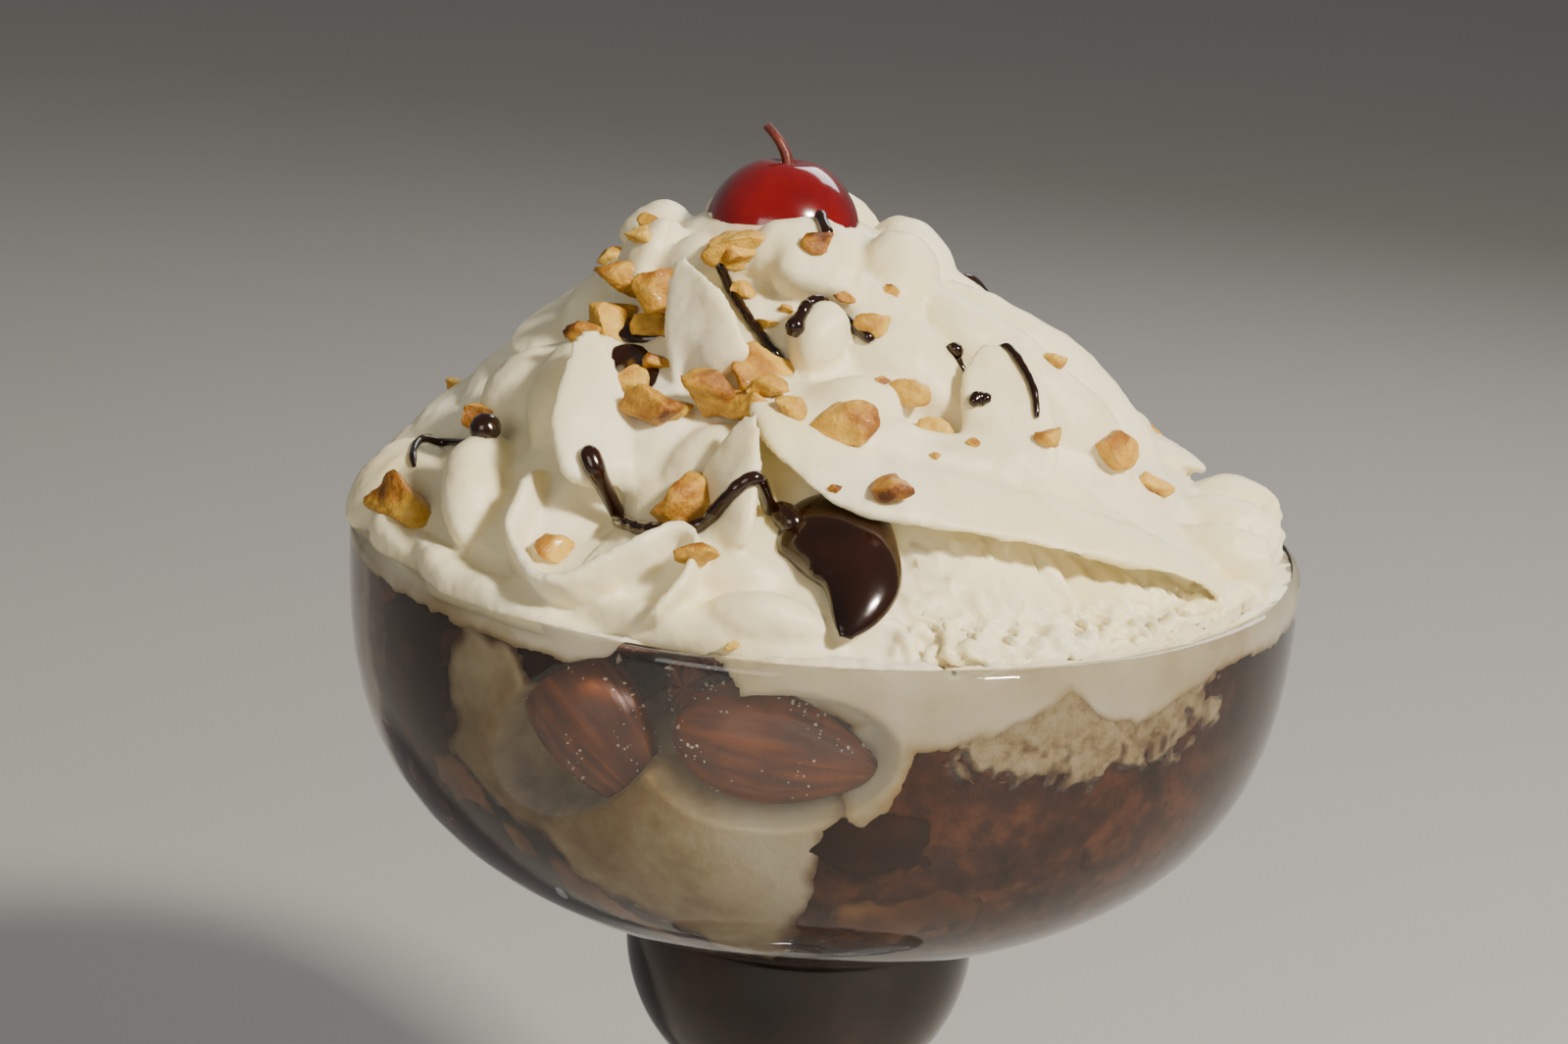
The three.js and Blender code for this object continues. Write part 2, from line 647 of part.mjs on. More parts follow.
const iceFront = largest(cutBeds(frontIce.intersect(contents).subtract(grownFudge)));
const iceRight = largest(rightIce.intersect(contents).subtract(grownFudge));
const iceBack = largest(backIce.intersect(contents).subtract(grownFudge).subtract(grownRight));
const fudge = largest(cutBeds(contents.intersect(layerBelow(fudgeTop, 60, -GAP / 2))));
const grownIce = join([grownFront, grownRight, grownBack]);
const brownie = largest(cutBeds(contents.subtract(grownFudge).subtract(grownIce)));

// The whipped cream: a core, the folds round it, and what fills the bowl under them
const core = solid(
  moveVertices(
    turned([
      [0, -14],
      ...MOUND_OUTLINE.map(([z, r]) => [
        Math.max(0, r - CORE_INSET),
        z === MOUND_HEIGHT ? z - CORE_INSET : z,
      ]),
    ]),
    (v) => {
      v.x += moundShift(v.z);
      v.z += GLASS_HEIGHT;
    },
  ),
);
const folds = [...SEEN_FOLDS, ...Array.from({ length: TEETH }, (_, i) => toothFold(i)), ...hiddenFolds()];
const heap = join([core, ...folds.map(fold), ...NEST.map((n) => fold(nestFold(n)))]);

// Cream stays inside the rim, except at the left, where it is pushed a little over it.
const SPILL = { from: -100, to: -24, hang: 2.6, proud: 1.2 };
function outsideRim() {
  const reach = 90;
  const low = GLASS_HEIGHT - 30;
  const band = (inner, top) =>
    solid(turned([[inner, low], [reach, low], [reach, top], [inner, top], [inner, low]]));
  const wedge = new THREE.Shape();
  wedge.moveTo(0, 0);
  for (let angle = SPILL.from; angle <= SPILL.to + 0.1; angle += (SPILL.to - SPILL.from) / 4) {
    wedge.lineTo(2 * reach * Math.sin(radians(angle)), -2 * reach * Math.cos(radians(angle)));
  }
  const sector = solid(
    new THREE.ExtrudeGeometry(wedge, { depth: 60, bevelEnabled: false }).translate(0, 0, GLASS_HEIGHT - 30),
  );
  const inside = RIM_RADIUS - WALL - 1.7 * GAP;
  const plain = band(inside, GLASS_HEIGHT + 1.5).subtract(sector);
  const under = band(inside, GLASS_HEIGHT - SPILL.hang);
  const beyond = band(RIM_RADIUS + SPILL.proud, GLASS_HEIGHT + 12);
  return plain.add(under).add(beyond);
}

const glass = solid(turned(glassProfile()));
const plug = room.subtract(underCream(GAP / 2));
const above = solid(
  turned([
    [0, GLASS_HEIGHT - 0.5],
    [RIM_RADIUS - WALL / 2, GLASS_HEIGHT - 0.5],
    [RIM_RADIUS - WALL / 2, GLASS_HEIGHT - SPILL.hang - 1],
    [80, GLASS_HEIGHT - SPILL.hang - 1],
    [80, 220],
    [0, 220],
  ]),
);
const heapAbove = largest(heap.intersect(above), 0.4);
const bareCream = plug.add(heapAbove).subtract(outsideRim());
const rimRoom = solid(turned(glassProfile(GAP)));
const cherryRoom = cherryShape(GAP);
const land = lander(bareCream);

const drop = fold(FUDGE_DROP).intersect(above).subtract(rimRoom);
const dropRoom = fold({ ...FUDGE_DROP, width: FUDGE_DROP.width + GAP, height: FUDGE_DROP.height + GAP });
const fused = [
  ...THREADS.map((t) => solid(thread(t, land))),
  ...SMALL_NUTS.map(([angle, level, half], i) =>
    solid(nutOnCream([angle, level, half, half * 0.75, 37 * i], 50 + i, 0, land)),
  ),
  fold(FUDGE_POOL),
];
const nutRooms = LARGE_NUTS.map((n, i) => solid(nutOnCream(n, i + 1, 1, land, GAP)));
const cream = [dropRoom, cherryRoom, rimRoom, ...almondBeds, ...nutRooms].reduce(
  (left, piece) => left.subtract(piece),
  largest(join([bareCream, ...fused]), 0.4),
);

show("glass", geometryOf(glass), 0xe9eef0, 0.05, { transparent: true, opacity: 0.35 });
show("fudge_sauce", geometryOf(fudge), FUDGE, 0.2);
show("brownie", geometryOf(brownie), BROWNIE, 0.8);
show("ice_cream_front", geometryOf(iceFront), ICE_CREAM, 0.5);
show("ice_cream_right", geometryOf(iceRight), ICE_CREAM, 0.6);
show("ice_cream_back", geometryOf(iceBack), ICE_CREAM, 0.6);
for (const a of ALMONDS) show(a.name, almondShape().applyMatrix4(almondMatrix(a)), ROASTED, 0.6);
show("whipped_cream", geometryOf(largest(cream)), CREAM, 0.55);
show("fudge_drop", geometryOf(largest(drop)), FUDGE, 0.08);
show("cherry", geometryOf(cherryShape()), 0xa3060c, 0.12);
LARGE_NUTS.forEach((n, i) =>
  show(`nut_${String(i + 1).padStart(2, "0")}`, nutOnCream(n, i + 1, 1, land), NUT, 0.7),
);

export default group;
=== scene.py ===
import math
import random

import bmesh
import bpy
from mathutils import Matrix, Vector, noise
from mathutils.bvhtree import BVHTree


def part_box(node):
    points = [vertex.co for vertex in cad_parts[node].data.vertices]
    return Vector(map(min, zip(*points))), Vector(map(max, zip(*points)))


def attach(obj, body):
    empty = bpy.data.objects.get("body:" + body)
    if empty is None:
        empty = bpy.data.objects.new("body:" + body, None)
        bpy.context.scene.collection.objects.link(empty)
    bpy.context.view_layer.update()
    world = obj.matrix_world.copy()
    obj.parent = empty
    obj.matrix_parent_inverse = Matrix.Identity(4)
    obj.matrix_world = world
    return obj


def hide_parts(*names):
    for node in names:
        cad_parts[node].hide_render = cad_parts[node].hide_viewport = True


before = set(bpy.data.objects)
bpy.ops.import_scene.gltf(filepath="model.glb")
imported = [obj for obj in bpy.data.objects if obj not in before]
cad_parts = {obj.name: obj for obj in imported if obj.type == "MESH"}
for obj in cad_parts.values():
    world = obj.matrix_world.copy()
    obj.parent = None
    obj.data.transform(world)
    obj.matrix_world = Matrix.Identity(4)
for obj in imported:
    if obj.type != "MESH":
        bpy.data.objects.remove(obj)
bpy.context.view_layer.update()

# The place where the sundae is looked at: a plain pale table top in soft studio light.
# The camera stands where the photographer stood, a little above the rim, and tips the picture to the right.
MM = 0.001
RIM_HEIGHT = 150.0  # every height below that is called a level is measured from the rim

camera_data = bpy.data.cameras.new("camera")
camera = bpy.data.objects.new("camera", camera_data)
bpy.context.collection.objects.link(camera)
CAMERA_DISTANCE = 0.350  # from the middle of the rim
look_down, tip = math.radians(15.30), math.radians(3.96)
behind = Vector((0, -math.cos(look_down), math.sin(look_down)))
across = Vector((math.cos(tip), math.sin(tip) * math.sin(look_down), math.sin(tip) * math.cos(look_down)))
camera.matrix_world = Matrix((across, behind.cross(across), behind)).transposed().to_4x4()
camera.matrix_world.translation = Vector((0, 0, RIM_HEIGHT * MM)) + behind * CAMERA_DISTANCE
camera_data.sensor_width = 36
camera_data.lens = 63.0
camera_data.shift_x = -0.0276
camera_data.clip_start = 0.01
bpy.context.scene.camera = camera

bpy.ops.mesh.primitive_plane_add(size=14, location=(0, 3, 0))
table_top = bpy.context.object
table_top.name = "table_top"
table_paint = bpy.data.materials.new("table_paint")
table_paint.use_nodes = True
shader = table_paint.node_tree.nodes["Principled BSDF"]
shader.inputs["Roughness"].default_value = 0.55
speckle = table_paint.node_tree.nodes.new("ShaderNodeTexNoise")
speckle.inputs["Scale"].default_value = 40
tone = table_paint.node_tree.nodes.new("ShaderNodeValToRGB")
tone.color_ramp.elements[0].color = (0.43, 0.42, 0.40, 1)
tone.color_ramp.elements[1].color = (0.46, 0.45, 0.43, 1)
table_paint.node_tree.links.new(speckle.outputs["Fac"], tone.inputs["Fac"])
table_paint.node_tree.links.new(tone.outputs["Color"], shader.inputs["Base Color"])
table_top.data.materials.append(table_paint)

world = bpy.data.worlds.new("studio")
bpy.context.scene.world = world
world.use_nodes = True
world.node_tree.nodes["Background"].inputs["Color"].default_value = (1.0, 0.98, 0.95, 1)
world.node_tree.nodes["Background"].inputs["Strength"].default_value = 0.17


def soft_light(name, place, size, power, warmth=(1, 1, 1)):
    data = bpy.data.lights.new(name, "AREA")
    data.shape = "RECTANGLE"
    data.size, data.size_y = size
    data.energy = power
    data.color = warmth
    lamp = bpy.data.objects.new(name, data)
    bpy.context.collection.objects.link(lamp)
    lamp.location = place
    lamp.rotation_euler = (Vector((0, 0, 0.16)) - lamp.location).to_track_quat("-Z", "Y").to_euler()


soft_light("key_light", (0.55, -0.52, 0.74), (0.13, 0.11), 19.0, (1.0, 0.91, 0.77))
soft_light("front_light", (-0.35, -0.85, 0.45), (0.45, 0.45), 2.2, (1.0, 0.94, 0.86))
soft_light("back_light", (0.35, 0.75, 0.75), (0.5, 0.4), 3.5, (0.95, 0.97, 1.0))

# The glass: one piece of clear blown glass, a wide bowl over a round well, on a stem and a slightly hollow foot.
# It is raised ring by ring, as radius and height in millimetres, from under the foot to the fire-polished rim,
# and down again inside, with an even wall.
RIM_RADIUS, WALL = 60.0, 2.2
WELL_RADIUS, WELL_MIDDLE, WELL_WALL = 23.0, 94.0, 2.4
BOWL_FLOOR = 51.2


def bowl_radius(depth):
    return RIM_RADIUS * (1 - (depth / BOWL_FLOOR) ** 3.13) ** (1 / 2.2)


def inner_profile(grow=0.0):
    """The inside of the glass from the axis up to the rim, as radius and height, moved into the wall by grow."""
    radius = WELL_RADIUS - WELL_WALL + grow
    points = [(radius * math.cos(math.radians(a)), WELL_MIDDLE + radius * math.sin(math.radians(a)))
              for a in range(-86, 15, 4)]
    for step in range(61):
        depth = 48.4 * (1 - step / 60) ** 0.75 + 1.2 * (step / 60)
        slope = (bowl_radius(depth - 0.05) - bowl_radius(depth + 0.05)) / 0.1
        length = math.hypot(1, slope)
        radius = bowl_radius(depth) - (WALL - grow) / length
        height = RIM_HEIGHT - depth + (WALL - grow) * slope / length
        if radius > points[-1][0] and height > points[-1][1]:
            points.append((radius, height))
    return points


def raise_rings(name, rings, vertices):
    """Draws out a solid of revolution ring by ring; rings are radius and height, and both ends close on the axis."""
    (radius, height), rest = rings[0], rings[1:]
    bpy.ops.mesh.primitive_circle_add(vertices=vertices, radius=radius * MM, location=(0, 0, height * MM))
    turned = bpy.context.object
    turned.name = name
    bpy.ops.object.transform_apply(location=True)
    bpy.ops.object.mode_set(mode="EDIT")
    bpy.ops.mesh.select_all(action="SELECT")
    for next_radius, next_height in rest:
        bpy.ops.mesh.extrude_edges_move(TRANSFORM_OT_translate={"value": (0, 0, (next_height - height) * MM)})
        scale = next_radius / radius
        bpy.ops.transform.resize(value=(scale, scale, 1), center_override=(0, 0, next_height * MM))
        radius, height = next_radius, next_height
    bpy.ops.mesh.edge_face_add()
    bpy.ops.mesh.select_all(action="DESELECT")
    bpy.ops.object.mode_set(mode="OBJECT")
    for vertex in turned.data.vertices[:vertices]:
        vertex.select = True
    bpy.ops.object.mode_set(mode="EDIT")
    bpy.ops.mesh.edge_face_add()
    bpy.ops.mesh.select_all(action="SELECT")
    bpy.ops.mesh.normals_make_consistent(inside=False)
    bpy.ops.object.mode_set(mode="OBJECT")
    bpy.ops.object.shade_smooth_by_angle(angle=math.radians(40))
    return turned


under_foot = [(0.3, 1.7), (12.0, 1.6), (24.0, 1.2), (31.5, 0.6), (35.0, 0.15), (36.5, 0.0)]
foot = [(38.3, 0.2), (39.0, 0.9), (38.6, 1.9), (37.0, 2.6), (33.0, 3.4), (28.0, 4.2), (22.0, 5.4), (17.0, 7.0),
        (13.0, 9.0)]
stem = [(10.2, 11.6), (8.3, 15.0), (7.0, 19.5), (6.2, 25.0), (5.7, 31.0), (5.5, 37.0), (5.5, 43.0), (5.7, 49.0),
        (6.1, 54.0), (6.9, 59.0), (8.3, 63.5), (10.4, 67.5), (12.8, 71.2), (15.3, 75.0)]
well = [(WELL_RADIUS * math.cos(math.radians(a)), WELL_MIDDLE + WELL_RADIUS * math.sin(math.radians(a)))
        for a in range(-46, 12, 4)]
bowl = [(bowl_radius(depth), RIM_HEIGHT - depth)
        for depth in (48.4, 48, 47.4, 46.6, 45.4, 44, 42, 39.5, 36.5, 33, 29, 25, 20.5, 16, 11.5, 7, 3.4)]
round_rim = [(60.0, 148.3), (59.95, 149.1), (59.65, 149.65), (59.1, 149.95), (58.7, 150.0), (58.2, 149.9),
             (57.8, 149.55), (57.62, 149.0)]
inner = [(max(radius, 0.3), height) for radius, height in inner_profile()][::-1]
glass = raise_rings("glass_bowl", under_foot + foot + stem + well + bowl + round_rim + inner, 144)
clear_glass = bpy.data.materials.new("clear_glass")
clear_glass.use_nodes = True
shader = clear_glass.node_tree.nodes["Principled BSDF"]
shader.inputs["Base Color"].default_value = (0.985, 0.992, 0.99, 1)
shader.inputs["Transmission Weight"].default_value = 1.0
shader.inputs["IOR"].default_value = 1.5
smear = clear_glass.node_tree.nodes.new("ShaderNodeTexNoise")
smear.inputs["Scale"].default_value = 60
smear.inputs["Detail"].default_value = 6
polish = clear_glass.node_tree.nodes.new("ShaderNodeMapRange")
polish.inputs["From Min"].default_value = 0.45
polish.inputs["From Max"].default_value = 0.75
polish.inputs["To Min"].default_value = 0.005
polish.inputs["To Max"].default_value = 0.05
place = clear_glass.node_tree.nodes.new("ShaderNodeTexCoord")
clear_glass.node_tree.links.new(place.outputs["Object"], smear.inputs["Vector"])
clear_glass.node_tree.links.new(smear.outputs["Fac"], polish.inputs["Value"])
clear_glass.node_tree.links.new(polish.outputs["Result"], shader.inputs["Roughness"])
glass.data.materials.append(clear_glass)
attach(glass, "root")
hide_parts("glass")

# The hot fudge in the well and the bottom of the bowl: cooked chocolate syrup, poured in first, so it wets the glass.
# Its body is raised in rings that reach just into the wall, and its top is covered by the brownie.


def food_material(name, build, roughness=0.5, subsurface=0.0, radius=(1, 1, 1), scale=0.004, coat=0.0, ior=1.45):
    """A material from build(nodes, links, place), which gives colour, relief, its depth, and roughness or None."""
    made = bpy.data.materials.new(name)
    made.use_nodes = True
    nodes, links = made.node_tree.nodes, made.node_tree.links
    shader = nodes["Principled BSDF"]
    shader.inputs["Roughness"].default_value = roughness
    shader.inputs["IOR"].default_value = ior
    shader.inputs["Subsurface Weight"].default_value = subsurface
    shader.inputs["Subsurface Radius"].default_value = radius
    shader.inputs["Subsurface Scale"].default_value = scale
    shader.inputs["Coat Weight"].default_value = coat
    shader.inputs["Coat Roughness"].default_value = 0.06
    place = nodes.new("ShaderNodeTexCoord").outputs["Object"]
    colour, height, depth, gloss = build(nodes, links, place)
    links.new(colour, shader.inputs["Base Color"])
    relief = nodes.new("ShaderNodeBump")
    relief.inputs["Distance"].default_value = depth
    relief.inputs["Strength"].default_value = 1.0
    links.new(height, relief.inputs["Height"])
    links.new(relief.outputs["Normal"], shader.inputs["Normal"])
    if gloss:
        links.new(gloss, shader.inputs["Roughness"])
    return made


def grain(nodes, links, place, scale, detail=4, rough=0.5):
    """A cloud of noise, between 0 and 1."""
    cloud = nodes.new("ShaderNodeTexNoise")
    cloud.inputs["Scale"].default_value = scale
    cloud.inputs["Detail"].default_value = detail
    cloud.inputs["Roughness"].default_value = rough
    links.new(place, cloud.inputs["Vector"])
    return cloud.outputs["Fac"]


def multiply_add(nodes, links, value, factor, more=0.0):
    """A node that gives value times factor plus more, where more is a number or a socket."""
    sums = nodes.new("ShaderNodeMath")
    sums.operation = "MULTIPLY_ADD"
    links.new(value, sums.inputs[0])
    sums.inputs[1].default_value = factor
    if isinstance(more, float):
        sums.inputs[2].default_value = more
    else:
        links.new(more, sums.inputs[2])
    return sums.outputs[0]


def rescale(nodes, links, value, old, new, kind="LINEAR"):
    """A node that takes the range old of value to the range new."""
    scale = nodes.new("ShaderNodeMapRange")
    scale.interpolation_type = kind
    for socket, number in zip(("From Min", "From Max", "To Min", "To Max"), (*old, *new)):
        scale.inputs[socket].default_value = number
    links.new(value, scale.inputs["Value"])
    return scale.outputs["Result"]


def blend_colours(nodes, links, share, first, second):
    """A node that goes from the first colour to the second as share rises; each is a colour or a socket."""
    blend = nodes.new("ShaderNodeMix")
    blend.data_type = "RGBA"
    links.new(share, blend.inputs["Factor"])
    for socket, colour in (("A", first), ("B", second)):
        if isinstance(colour, tuple):
            blend.inputs[socket].default_value = (*colour, 1)
        else:
            links.new(colour, blend.inputs[socket])
    return blend.outputs["Result"]


def painted_value(nodes, name):
    """The value that a piece carries on each vertex under a name."""
    carried = nodes.new("ShaderNodeAttribute")
    carried.attribute_name = name
    return carried.outputs["Fac"]


def ramp(nodes, links, source, stops):
    """A colour read off a value, by stops of value and colour."""
    band = nodes.new("ShaderNodeValToRGB")
    while len(band.color_ramp.elements) < len(stops):
        band.color_ramp.elements.new(0.5)
    for element, (position, colour) in zip(band.color_ramp.elements, stops):
        element.position = position
        element.color = (*colour, 1)
    links.new(source, band.inputs["Fac"])
    return band.outputs["Color"]


def clouded(scale, detail, stops, depth, rough=0.5):
    """The look of an even stuff: one cloud of noise gives its colours and its relief."""
    def look(nodes, links, place):
        cloud = grain(nodes, links, place, scale, detail, rough)
        return ramp(nodes, links, cloud, stops), cloud, depth, None
    return look


fudge_look = clouded(120, 3, [(0.3, (0.007, 0.0022, 0.001)), (0.7, (0.020, 0.0055, 0.0022))], 0.0002)
fudge = food_material("hot_fudge", fudge_look, roughness=0.16, subsurface=0.1, radius=(1, 0.35, 0.15), scale=0.001,
                      coat=0.3, ior=1.47)
pressed_fudge_look = clouded(55, 6, [(0.34, (0.008, 0.0026, 0.0012)), (0.55, (0.026, 0.0075, 0.003)),
                                     (0.72, (0.075, 0.022, 0.008))], 0.0003, 0.6)
fudge_on_glass = food_material("fudge_on_glass", pressed_fudge_look, roughness=0.6, ior=1.04)

sauce_rings = [(max(r, 0.3), z) for r, z in inner_profile(0.22) if z < 112]
sauce = raise_rings("sauce_in_well", sauce_rings + [(40.0, 112.5), (20.0, 112.8), (0.3, 113.0)], 96)
sauce.data.materials.append(fudge_on_glass)
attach(sauce, "root")
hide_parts("fudge_sauce")

# The almonds against the glass: whole roasted almonds in their brown skins, with fine ridges and grains of salt.
# Two lie flat against the wall, and the third points inwards behind them. Each keeps the place of its solid.
ALMONDS = {  # angle, level, depth behind the wall, tilt, turn
    "almond_front": (-4.2, -11.4, 5.0, 8, 0),
    "almond_left": (-27.0, -12.6, 5.2, 42, 0),
    "almond_behind": (-16.0, -7.4, 19.5, 12, 86),
}


def almond_look(nodes, links, place):
    cloud = grain(nodes, links, place, 260, 5)
    skin = multiply_add(nodes, links, painted_value(nodes, "ridge"), 0.55, multiply_add(nodes, links, cloud, 0.6))
    colour = ramp(nodes, links, skin, [(0.2, (0.016, 0.0025, 0.0004)), (0.5, (0.095, 0.016, 0.0009)),
                                       (0.8, (0.23, 0.056, 0.0035))])
    return colour, skin, 0.0004, None


almond_skin = food_material("roasted_almond_skin", almond_look, roughness=0.42, subsurface=0.05, scale=0.001)
salt_look = clouded(900, 2, [(0.3, (0.62, 0.50, 0.36)), (0.7, (0.92, 0.86, 0.76))], 0.0002)
salt = food_material("salt", salt_look, roughness=0.3, subsurface=0.3, scale=0.0005)

draw = random.Random(7)
grains_of_salt = []
for name, (angle, level, inset, tilt, turn) in ALMONDS.items():
    bpy.ops.mesh.primitive_uv_sphere_add(segments=72, ring_count=48, radius=1, rotation=(0, math.pi / 2, 0))
    nut = bpy.context.object
    nut.name = name + "_roasted"
    bpy.ops.object.transform_apply(rotation=True)
    a = math.radians(angle)
    radius = bowl_radius(-level) - WALL - inset
    lean = (bowl_radius(-level - 1) - bowl_radius(-level + 1)) / 2
    lay = (Matrix.Translation((radius * math.sin(a), -radius * math.cos(a), RIM_HEIGHT + level))
           @ Matrix.Rotation(a, 4, "Z") @ Matrix.Rotation(-math.atan(lean), 4, "X")
           @ Matrix.Rotation(math.radians(tilt), 4, "Y") @ Matrix.Rotation(math.radians(turn), 4, "Z"))
    ridges = nut.data.attributes.new("ridge", "FLOAT", "POINT")
    for vertex in nut.data.vertices:
        v = vertex.co.copy()
        around = math.atan2(v.z, v.y)
        taper = 1 - 0.28 * v.x - 0.16 * v.x * v.x
        wave = noise.noise(Vector((v.x * 1.1, around * 4.2, inset)))
        fine = noise.noise(Vector((v.x * 2.5, around * 11.0, inset + 5)))
        ridges.data[vertex.index].value = 0.5 + 0.55 * wave + 0.35 * fine
        swell = 0.985 + 0.022 * wave + 0.010 * fine
        body = Vector((v.x * 11.5, v.y * taper * 4.25 * swell, v.z * taper * 6.5 * swell))
        vertex.co = (lay @ body) * MM
        if draw.random() < 0.5 * max(0.0, noise.noise(v * 2.6 + Vector((inset, 0, 0))) + 0.02) and abs(v.x) < 0.93:
            grains_of_salt.append((lay @ (body * 1.01), 0.08 + 0.22 * draw.random() ** 2))
    bpy.ops.object.shade_smooth()
    nut.data.materials.append(almond_skin)
    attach(nut, "root")
    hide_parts(name)

bpy.ops.mesh.primitive_ico_sphere_add(subdivisions=1, radius=1)
grain_shape = bpy.context.object
salt_mesh = bmesh.new()
for place_of_grain, size in grains_of_salt:
    lump = bmesh.new()
    lump.from_mesh(grain_shape.data)
    spin = Matrix.Rotation(draw.uniform(0, 6.28), 4, Vector((draw.random(), draw.random(), 1)).normalized())
    bmesh.ops.transform(lump, verts=lump.verts, matrix=Matrix.Translation(place_of_grain * MM) @ spin
                        @ Matrix.Diagonal((size * MM, size * 0.8 * MM, size * 0.6 * MM, 1)))
    scrap = bpy.data.meshes.new("scrap")
    lump.to_mesh(scrap)
    salt_mesh.from_mesh(scrap)
    lump.free()
salt_mesh.to_mesh(grain_shape.data)
salt_mesh.free()
grain_shape.name = "salt_on_almonds"
grain_shape.data.materials.append(salt)
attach(grain_shape, "root")

# The vanilla ice cream: soft scoops that melt where they press against the glass, the front one in a tongue to the
# bottom. The right scoop is firmer and breaks into a crumbly skirt. Each body reaches just into the wall, past the
# brownie, and stands back where an almond lies.
ALMOND_ROOMS = ((-4.2, -11.4, 8, 11.9, 7.0, 6.0), (-27, -12.6, 42, 11.9, 7.0, 6.0),
                (-16.5, -7.0, 12, 8.0, 6.6, 14.0))  # angle, level, tilt, half length, half width, depth
USUAL_RADIUS = 56  # of the glass's inner face, for lengths along the wall


def turn_gap(a, b):
    """How far angle a lies past angle b, between -180 and 180 degrees."""
    return ((a - b) % 360 + 540) % 360 - 180


def step_up(low, high, x):
    """A smooth step from 0 at low to 1 at high."""
    t = min(1.0, max(0.0, (x - low) / (high - low)))
    return t * t * (3 - 2 * t)


def almond_room(angle, level):
    """How far the filling stands back for the almonds, in millimetres."""
    room = 0.0
    for centre, height, tilt, half, wide, deep in ALMOND_ROOMS:
        x = math.radians(turn_gap(angle, centre)) * USUAL_RADIUS
        y = level - height
        t = math.radians(-tilt)
        u, v = x * math.cos(t) - y * math.sin(t), x * math.sin(t) + y * math.cos(t)
        room = max(room, deep * (1 - step_up(0.96, 1.14, math.hypot(u / half, v / wide))))
    return room


wall_table = inner_profile()


def wall_radius(height):
    """The radius of the glass's inner face at a height."""
    for (r0, z0), (r1, z1) in zip(wall_table, wall_table[1:]):
        if z0 <= height <= z1:
            return r0 + (r1 - r0) * (height - z0) / (z1 - z0)
    return wall_table[-1][0] if height > 100 else 0.0


def on_wall(angle, level, depth):
    """A point behind the glass: depth is how far it lies inside the wall's inner face."""
    a = math.radians(angle)
    radius = wall_radius(RIM_HEIGHT + level) - depth
    return Vector((radius * math.sin(a), -radius * math.cos(a), RIM_HEIGHT + level)) * MM


def pressed_body(name, angles, levels, step, presence, back, rest=3.4, proud=0.3, edge=0.9, behind=None):
    """A body pressed on the glass: presence(angle, level) is above 0 where it touches it.

    It reaches proud into the wall, falls back by rest round its edge, and is back thick inwards.
    """
    (a0, a1), (z0, z1) = angles, levels
    columns = max(2, round(math.radians(a1 - a0) * USUAL_RADIUS / step))
    rows = max(2, round((z1 - z0) / step))
    bpy.ops.mesh.primitive_grid_add(x_subdivisions=columns, y_subdivisions=rows, size=1)
    body = bpy.context.object
    body.name = name
    keep = []
    bleed = body.data.attributes.new("bleed", "FLOAT", "POINT")
    for vertex in body.data.vertices:
        angle = a0 + (vertex.co.x + 0.5) * (a1 - a0)
        level = z0 + (vertex.co.y + 0.5) * (z1 - z0)
        here = presence(angle, level)
        sunk = rest * (1 - step_up(-edge, edge * 0.35, here))
        bleed.data[vertex.index].value = here
        depth = sunk - proud + almond_room(angle, level) + (behind(angle, level) if behind else 0)
        vertex.co = on_wall(angle, level, depth)
        vertex.select = False
        keep.append(here > -edge * 1.6)
    drop = {i for i, kept in enumerate(keep) if not kept}
    bpy.ops.object.mode_set(mode="EDIT")
    mesh = bmesh.from_edit_mesh(body.data)
    bmesh.ops.delete(mesh, geom=[v for v in mesh.verts if v.index in drop], context="VERTS")
    bmesh.update_edit_mesh(body.data)
    bpy.ops.mesh.select_all(action="SELECT")
    bpy.ops.mesh.extrude_region_move(TRANSFORM_OT_translate={"value": (0, 0, 0)})
    bpy.ops.object.mode_set(mode="OBJECT")
    for vertex in body.data.vertices:
        if vertex.select:
            flat = Vector((vertex.co.x, vertex.co.y, 0))
            vertex.co -= flat.normalized() * min(back * MM, flat.length * 0.7)
    bpy.ops.object.mode_set(mode="EDIT")
    bpy.ops.mesh.select_all(action="SELECT")
    bpy.ops.mesh.remove_doubles(threshold=0.00001)
    bpy.ops.mesh.normals_make_consistent(inside=False)
    bpy.ops.object.mode_set(mode="OBJECT")
    bpy.ops.object.shade_smooth()
    return body


def lump_noise(angle, level, size, seed):
    """Unevenness along the wall, between -1 and 1, in lumps of a size."""
    a = math.radians(angle)
    across, ahead = USUAL_RADIUS * math.sin(a), USUAL_RADIUS * math.cos(a)
    return noise.noise(Vector((across / size, ahead / size + seed, level / size)))


# how low and how high the front ice cream reaches on the glass, as angle and level
FRONT_LOW = ((-64, -8), (-56, -14), (-50, -21), (-45, -19), (-40, -23), (-35, -26), (-30, -29), (-25, -32),
             (-20, -34.5), (-15, -37.5), (-10, -40), (-4, -40.5), (0, -37), (3, -33), (5, -24), (7, -17))
FRONT_HIGH = ((-48, -1.5), (-36, -2), (-32, -9.5), (-14, -10.5), (-6, -14), (8, -16))


def read_off(table, x):
    """The value of a table at x, on straight lines between its entries."""
    if x <= table[0][0]:
        return table[0][1]
    for (x0, y0), (x1, y1) in zip(table, table[1:]):
        if x <= x1:
            t = (x - x0) / (x1 - x0)
            return y0 + (y1 - y0) * t
    return table[-1][1]


